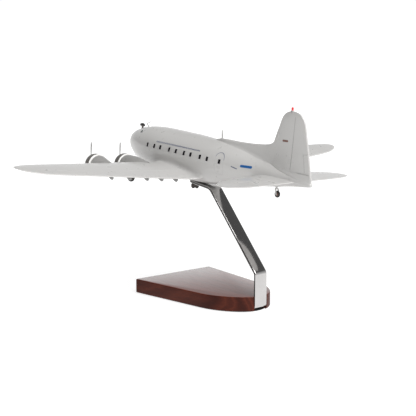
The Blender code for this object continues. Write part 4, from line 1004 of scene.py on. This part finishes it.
pt = bar("pitot_skin", [(27.6, 0.0, -4.9), (27.5, 0.0, -8.6), (27.0, 0.0, -10.0), (25.6, 0.0, -10.75), (22.0, 0.0, -10.75), (18.0, 0.0, -10.6)],
         (0.8, 0.68, 0.6, 0.55, 0.45, 0.32), M_STEEL, 16, slot="prop_metal")
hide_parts("pitot_tube")
bc = turned("beacon_lens_skin", [(0.0, 68.4), (0.35, 68.37), (0.7, 68.26), (0.95, 68.05), (1.12, 67.75), (1.2, 67.35), (1.2, 66.0), (1.2, 64.4)] + [(0.0, 64.3)],
            W(283.8, 0, 0), UPV, M_RED, 32, slot="beacon_red")
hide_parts("beacon_lens")
turned("beacon_collar", [(0.0, 64.9), (1.35, 64.9), (1.5, 64.6), (1.5, 63.8), (0.0, 63.8)], W(283.8, 0, 0), UPV, M_STEEL, 32, slot="steel")

# ------------------------------------------------------------------ markings and panel lines
for side, n in ((1, "left"), (-1, "right")):
    Fs = F_side(side)
    # one row of equal, evenly spaced dashes over the windows, and a short plain line aft of the door
    def z_row(s):
        return float(np.interp(s, (92.0, 125.0, 147.0, 168.0), (14.75, 13.95, 13.1, 12.3)))
    dashes = []
    for q in range(40):
        sc = 92.0 + 75.8 * (q + 0.5) / 40
        dashes.append((sc, z_row(sc), 0.95, 1.5))
    bars("dash_row_" + n, Fs, dashes, M_NAVY)
    ribbon("tail_line_" + n, Fs, [(216.4, 1.7), (224.6, -0.2)], 1.0, M_NAVY, lift=0.05, depth=0.2, slot="grey_paint")
    # one plain blue stripe on the rear body
    plate_patch("tail_stripe_" + n, Fs, rounded_rect(235.5, 3.4, 15.0, 2.6, 1.2, 5), M_BLUE, lift=0.05, slot="grey_paint")
    # passenger door: arched head line and fine upright joints
    arch = [(199.0 - 6.2 * math.cos(math.radians(a)), 9.4 + 5.8 * math.sin(math.radians(a)) - 0.03 * a / 1.8) for a in np.linspace(0, 180, 25)]
    ribbon("door_arch_" + n, Fs, arch, 0.55, M_LINE2, lift=0.05, slot="grey_paint")
    ribbon("door_joint_" + n, Fs, [(193.0, 8.6), (193.6, 1.0), (194.2, -8.4), (204.4, -9.2), (205.0, 0.0), (205.2, 5.8)], 0.30, M_LINE3,
           lift=0.04, slot="grey_paint")
    # one plain brown stripe on the fin
    Ff = F_fin(side)
    plate_patch("fin_stripe_" + n, Ff, rounded_rect(278.2, 34.2, 8.0, 2.2, 1.0, 5), M_RUST, lift=0.05, slot="grey_paint")
    # rudder hinge, foot and trim tab
    ribbon("rudder_line_" + n, Ff, [(289.9, 59.0), (289.6, 50.0), (288.3, 22.9), (286.7, 4.6), (286.9, 4.1), (311.6, 3.2)], 0.42, M_LINE, lift=0.05,
           slot="grey_paint")
    ribbon("trim_tab_line_" + n, Ff, [(309.6, 23.6), (303.6, 22.9), (304.6, 14.0), (305.8, 5.0)], 0.34, M_LINE, lift=0.04, slot="grey_paint")
# cockpit glazing: windscreen and side panes
Ft = F_top()
for sg, n in ((1, "left"), (-1, "right")):
    def Fw(s, a, off, sg=sg):
        return Ft(s, sg * a, off)
    plate_patch("windscreen_" + n, Fw, [(24.2, 0.7), (31.4, 0.7), (33.0, 8.6), (30.4, 10.4), (26.4, 9.4), (24.6, 5.0)], M_COCKPIT, slot="black_gloss")
    plate_patch("side_pane_fore_" + n, Fw, [(32.2, 11.6), (35.6, 9.9), (40.2, 12.0), (39.6, 16.6), (34.4, 16.6)], M_COCKPIT, slot="black_gloss")
    plate_patch("side_pane_aft_" + n, Fw, [(47.6, 14.2), (52.2, 15.2), (55.2, 19.4), (50.2, 19.6)], M_COCKPIT, slot="black_gloss")

# ------------------------------------------------------------------ stand arm, base, screws
PLATE_S, PLATE_Z = (130.5, 170.5), (-24.3, -28.2)
STRAP_X, STRAP_BEND_Z, STRAP_FOOT_Z, FOOT_LEN, STRAP_W, STRAP_T = -75.2, 41.8, 3.6, 34.0, 16.6, 3.0


def to_obj(s, z):
    return (-s * CT - z * ST + 168.8, -s * ST + z * CT + 162.1)


def rounded_path(points, radii, steps):
    out = [np.array(points[0], float)]
    for i in range(1, len(points) - 1):
        p = Vector(points[i])
        a = (Vector(points[i - 1]) - p).normalized()
        b = (Vector(points[i + 1]) - p).normalized()
        half = a.angle(b) / 2
        r = radii[i - 1]
        d = r / math.tan(half)
        c = p + (a + b).normalized() * r / math.sin(half)
        u, v = p + a * d - c, p + b * d - c
        sweep = math.pi - 2 * half
        for k in range(steps + 1):
            f = k / steps
            w = (u * math.sin((1 - f) * sweep) + v * math.sin(f * sweep)) / math.sin(sweep)
            out.append(np.array(c + w))
    out.append(np.array(points[-1], float))
    return np.array(out)


def arm_skin():
    P = rounded_path([to_obj(PLATE_S[0], PLATE_Z[0]), to_obj(PLATE_S[1], PLATE_Z[1]), (STRAP_X, STRAP_BEND_Z), (STRAP_X, STRAP_FOOT_Z),
                      (STRAP_X + FOOT_LEN, STRAP_FOOT_Z)], (12.0, 7.0, 4.0), 14)
    # extra stations along the straights, closer together at the free end
    w0 = STRAP_W / 2
    head = (P[1] - P[0]) / np.linalg.norm(P[1] - P[0])
    Q = [P[0] + head * w0 * (1 - math.cos(math.pi / 2 * k / 12)) for k in range(13)]
    P = np.concatenate([[Q[-1]], P[1:]])
    for a, b in zip(P, P[1:]):
        n = max(1, int(np.linalg.norm(b - a) / 4.0))
        for k in range(1, n + 1):
            Q.append(a + (b - a) * k / n)
    Q = np.array(Q)
    D = np.gradient(Q, axis=0)
    D /= np.linalg.norm(D, axis=1, keepdims=True)
    # inward normal: to the right of travel
    N = np.stack([D[:, 1], -D[:, 0]], 1)
    if (N[0] @ np.array([0.0, -1.0])) < 0:
        N = -N
    e, w, t = 1.0, STRAP_W / 2, STRAP_T
    sec = []
    for sx, sy, a0 in ((1, 0, -90), (1, 1, 0), (-1, 1, 90), (-1, 0, 180)):
        for k in range(5):
            a = math.radians(a0 + 90 * k / 4)
            cx = sx * (w - e)
            cy = e if sy == 0 else t - e
            sec.append((cx + e * math.cos(a), cy + e * math.sin(a)))
    sec = np.array(sec)
    rings = []
    for i, (q, nv) in enumerate(zip(Q, N)):
        k = max(0.06, math.sin(math.pi / 2 * min(i, 12) / 12))
        pts = np.stack([q[0] + nv[0] * sec[:, 1], sec[:, 0] * k, q[1] + nv[1] * sec[:, 1]], 1)
        rings.append(pts * 1e-3)
    # the plate's free end is rounded in plan
    rings = np.array(rings)
    ob = skin("arm_bar", rings, M_ARM, sharp=30.0, slot="arm_metal")
    # the sawn edges are satin, and coloured far darker than the polished faces as painted shade
    ob.data.materials.append(M_EDGE_PAINTED_SHADE)
    for f in ob.data.polygons:
        if abs(f.normal.y) > 0.93:
            f.material_index = 1
    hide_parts("stand_arm")
    return ob


arm_skin()


def base_half(inset=0.0, n=60):
    out = []
    for i in range(n + 1):
        t = 1 - (1 - i / n) ** 1.6
        u = max(0.0, (t - 0.66) / 0.34)
        w = (55.0 - 18.7 * t) * math.sqrt(max(0.0, 1 - u * u))
        out.append((151.5 * (0.5 - t), w))
    return out


def base_outline(radius=2.4, n=60):
    h = base_half(n=n)
    front, w0 = h[0]
    ring = [(front, 0.0), (front, w0 * 0.5), (front, w0 - radius)]
    for k in range(1, 8):
        a = math.pi / 2 * k / 8
        ring.append((front - radius + radius * math.cos(a), w0 - radius + radius * math.sin(a)))
    ring += [(x, y) for x, y in h if x < front - radius]
    ring[-1] = (ring[-1][0], 0.0)
    full = ring + [(x, -y) for x, y in ring[-2:0:-1]]
    return full


def base_block():
    out = base_outline()
    bm = bmesh.new()
    lowr = [bm.verts.new((x * 1e-3, y * 1e-3, 0.0013)) for x, y in out]
    high = [bm.verts.new((x * 1e-3, y * 1e-3, 0.017)) for x, y in out]
    bm.faces.new(lowr[::-1])
    bm.faces.new(high)
    n = len(out)
    for i in range(n):
        bm.faces.new((lowr[i], lowr[(i + 1) % n], high[(i + 1) % n], high[i]))
    bmesh.ops.recalc_face_normals(bm, faces=bm.faces)
    edges = [e for e in bm.edges if all(abs(v.co.z - 0.017) < 1e-6 for v in e.verts) or all(abs(v.co.z - 0.0013) < 1e-6 for v in e.verts)]
    bmesh.ops.bevel(bm, geom=edges, offset=0.0011, segments=4, profile=0.5, affect="EDGES")
    me = bpy.data.meshes.new("base_wood")
    bm.to_mesh(me)
    bm.free()
    me.materials.append(M_WOOD)
    ob = bpy.data.objects.new("base_wood", me)
    bpy.context.scene.collection.objects.link(ob)
    return ob


def box_cutter(name, lo, hi):
    bm = bmesh.new()
    bmesh.ops.create_cube(bm, size=1.0)
    for v in bm.verts:
        v.co = Vector([lo[i] if v.co[i] < 0 else hi[i] for i in range(3)]) * 1e-3
    me = bpy.data.meshes.new(name)
    bm.to_mesh(me)
    bm.free()
    ob = bpy.data.objects.new(name, me)
    bpy.context.scene.collection.objects.link(ob)
    return ob


base = base_block()
apply_boolean(base, box_cutter("notch", (-84, -8.6, -2), (-71.9, 8.6, 30)))
apply_boolean(base, box_cutter("pocket", (-84, -8.6, -2), (-37.0, 8.6, 6.9)))
base.data.set_sharp_from_angle(angle=math.radians(30))
finish_piece(base, "airframe", ("base_block",))
# up-facing faces take the lighter copy: painted light on the top of the base
base.data.materials.append(M_WOOD_TOP_PAINTED_LIGHT)
for _f in base.data.polygons:
    if _f.normal.z > 0.6:
        _f.material_index = 1

felt_out = [(x * (1 - 10 / 151.5), y * (1 - 5 / 55.0)) for x, y in base_outline(2.0)]
n = len(felt_out)
fv = [(x * 1e-3, y * 1e-3, z) for z in (0.0, 0.001) for x, y in felt_out]
ff = [tuple(range(n - 1, -1, -1)), tuple(range(n, 2 * n))] + [(i, (i + 1) % n, n + (i + 1) % n, n + i) for i in range(n)]
link_mesh("felt_sheet", fv, ff, M_FELT, slot="felt", replaces=("felt_pad",))

# winged screw under the top plate
SS = 135.2
sa = math.radians(-40.0)
zp = -24.8 - STRAP_T - 0.3
so = Vector(W(SS, 0, 0))
stem = turned("wing_screw_stem", [(0.0, -18.2), (1.2, -18.2), (1.5, -18.5)] +
              [(1.5 - (0.22 if i % 2 else 0.0), -18.8 - 0.28 * i) for i in range(26)] + [(1.5, zp), (2.0, zp - 0.02), (2.15, zp - 0.3), (2.1, zp - 5.2),
               (1.6, zp - 6.0), (0.0, zp - 6.2)], so, UPV, M_SCREW, 40, slot="screw_black", sharp=60.0)
ear_u = (AX * math.sin(-sa) + Vector((0, 1, 0)) * math.cos(sa))
ear_w = UPV.cross(ear_u)
for sg, n in ((1, "a"), (-1, "b")):
    prof = [(0.3, -0.7), (1.3, -0.5), (2.6, -0.45), (3.9, -1.3), (4.5, -3.3), (4.2, -5.4), (2.9, -6.9), (1.4, -6.8), (0.3, -5.9), (0.05, -3.4)]
    cx, cy = 2.35, -3.6
    rings = []
    for lay, (inset, wv) in enumerate(((0.55, -0.95), (0.18, -0.78), (0.0, -0.4), (0.0, 0.4), (0.18, 0.78), (0.55, 0.95))):
        pts = dense(prof + [prof[0]], 0.5)[:-1]
        ring = []
        for u, v in pts:
            k = 1 - inset / 2.8
            uu, vv = cx + (u - cx) * k, cy + (v - cy) * k
            ring.append(np.array(so + ear_u * (sg * uu) * 1e-3 + UPV * (zp + vv) * 1e-3 + ear_w * wv * 1e-3))
        rings.append(ring)
    skin("wing_screw_ear_" + n, np.array(rings), M_SCREW, sharp=50.0, slot="screw_black")
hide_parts("wing_screw")

for nd, mt in (("belly_nut", M_BRASS), ("foot_screw_rear", M_STEEL), ("foot_screw_front", M_STEEL), ("wing_dowel_front", M_STEEL),
               ("wing_dowel_rear", M_STEEL), ("tail_dowel", M_STEEL)):
    NODES[nd].data.materials.clear()
    NODES[nd].data.materials.append(mt)

# ------------------------------------------------------------------ stage, light, camera
def floor():
    bm = bmesh.new()
    bmesh.ops.create_grid(bm, x_segments=2, y_segments=2, size=40.0)
    me = bpy.data.meshes.new("floor")
    bm.to_mesh(me)
    bm.free()
    m, nt, b, new, link = new_mat("floor_paper")
    co = new("ShaderNodeTexCoord").outputs["Object"]
    link(ramp(nt, noise(nt, co, 3.0, 2.0), ((0.3, (0.35, 0.35, 0.35)), (0.7, (0.37, 0.37, 0.37)))), b.inputs["Base Color"])
    b.inputs["Roughness"].default_value = 0.9
    b.inputs["Specular IOR Level"].default_value = 0.15
    b.inputs["Emission Color"].default_value = (1.0, 1.0, 1.0, 1.0)
    b.inputs["Emission Strength"].default_value = 0.80
    me.materials.append(m)
    ob = bpy.data.objects.new("floor", me)
    bpy.context.scene.collection.objects.link(ob)


floor()

world = bpy.data.worlds.new("studio")
bpy.context.scene.world = world
world.use_nodes = True
nt = world.node_tree
bg = nt.nodes["Background"]
geo = nt.nodes.new("ShaderNodeTexCoord")
sep = nt.nodes.new("ShaderNodeSeparateXYZ")
nt.links.new(geo.outputs["Generated"], sep.inputs["Vector"])
mr = nt.nodes.new("ShaderNodeMapRange")
mr.inputs["From Min"].default_value = -1.0
mr.inputs["From Max"].default_value = 1.0
nt.links.new(sep.outputs["Z"], mr.inputs["Value"])
rp = nt.nodes.new("ShaderNodeValToRGB")
els = rp.color_ramp.elements
els[0].position, els[0].color = 0.530, (1.0, 1.0, 1.0, 1)
els[1].position, els[1].color = 0.560, (0.86, 0.86, 0.86, 1)
for pos, val in ((0.62, 0.66), (0.71, 0.44), (0.80, 0.11)):
    e = els.new(pos)
    e.color = (val, val, val * 1.01, 1)
nt.links.new(mr.outputs["Result"], rp.inputs["Fac"])
dot = nt.nodes.new("ShaderNodeVectorMath")
dot.operation = "DOT_PRODUCT"
dot.inputs[1].default_value = (-0.196, -0.981, 0.0)
nt.links.new(geo.outputs["Generated"], dot.inputs[0])
sd = nt.nodes.new("ShaderNodeMapRange")
sd.interpolation_type = "SMOOTHSTEP"
sd.inputs["From Min"].default_value = -0.62
sd.inputs["From Max"].default_value = 0.1
sd.inputs["To Min"].default_value = 0.05
sd.inputs["To Max"].default_value = 1.05
nt.links.new(dot.outputs["Value"], sd.inputs["Value"])
mx = nt.nodes.new("ShaderNodeVectorMath")
mx.operation = "SCALE"
nt.links.new(rp.outputs["Color"], mx.inputs[0])
nt.links.new(sd.outputs["Result"], mx.inputs["Scale"])
hz = nt.nodes.new("ShaderNodeMapRange")
hz.interpolation_type = "SMOOTHSTEP"
hz.inputs["From Min"].default_value = 0.16
hz.inputs["From Max"].default_value = 0.085
hz.inputs["To Min"].default_value = 0.0
hz.inputs["To Max"].default_value = 1.0
nt.links.new(sep.outputs["Z"], hz.inputs["Value"])
mxx = nt.nodes.new("ShaderNodeVectorMath")
mxx.operation = "MAXIMUM"
nt.links.new(mx.outputs["Vector"], mxx.inputs[0])
nt.links.new(hz.outputs["Result"], mxx.inputs[1])
nt.links.new(mxx.outputs["Vector"], bg.inputs["Color"])
bg.inputs["Strength"].default_value = 1.0


def area(name, loc, target, size, power, size_y=None):
    l = bpy.data.lights.new(name, "AREA")
    l.energy = power
    l.size = size
    if size_y:
        l.shape = "RECTANGLE"
        l.size_y = size_y
    ob = bpy.data.objects.new(name, l)
    bpy.context.scene.collection.objects.link(ob)
    ob.location = loc
    d = Vector(target) - Vector(loc)
    ob.rotation_euler = d.to_track_quat("-Z", "Y").to_euler()
    return ob


key = bpy.data.lights.new("key_sun", "SUN")
key.energy = 4.1
key.angle = math.radians(60)
ko = bpy.data.objects.new("key_sun", key)
bpy.context.scene.collection.objects.link(ko)
ko.rotation_euler = Vector((0.6, -0.1, -0.79)).to_track_quat("-Z", "Y").to_euler()

cam = bpy.data.cameras.new("camera")
cam.sensor_width = 36.0
cam.lens = 36.0 * 950.0 / 416.0
co = bpy.data.objects.new("camera", cam)
bpy.context.scene.collection.objects.link(co)
az, el, roll = math.radians(139.9167), math.radians(8.40335), math.radians(0.125)
back = Vector((math.cos(az) * math.cos(el), math.sin(az) * math.cos(el), math.sin(el)))
right = (-back).cross(Vector((0, 0, 1))).normalized()
up = right.cross(-back)
r2 = right * math.cos(roll) + up * math.sin(roll)
u2 = up * math.cos(roll) - right * math.sin(roll)
mt = Matrix((r2, u2, back)).transposed().to_4x4()
mt.translation = Vector((-0.78946, 0.67491, 0.25563))
co.matrix_world = mt
cam.clip_start = 0.01
bpy.context.scene.camera = co
bpy.context.scene.view_settings.view_transform = "Standard"
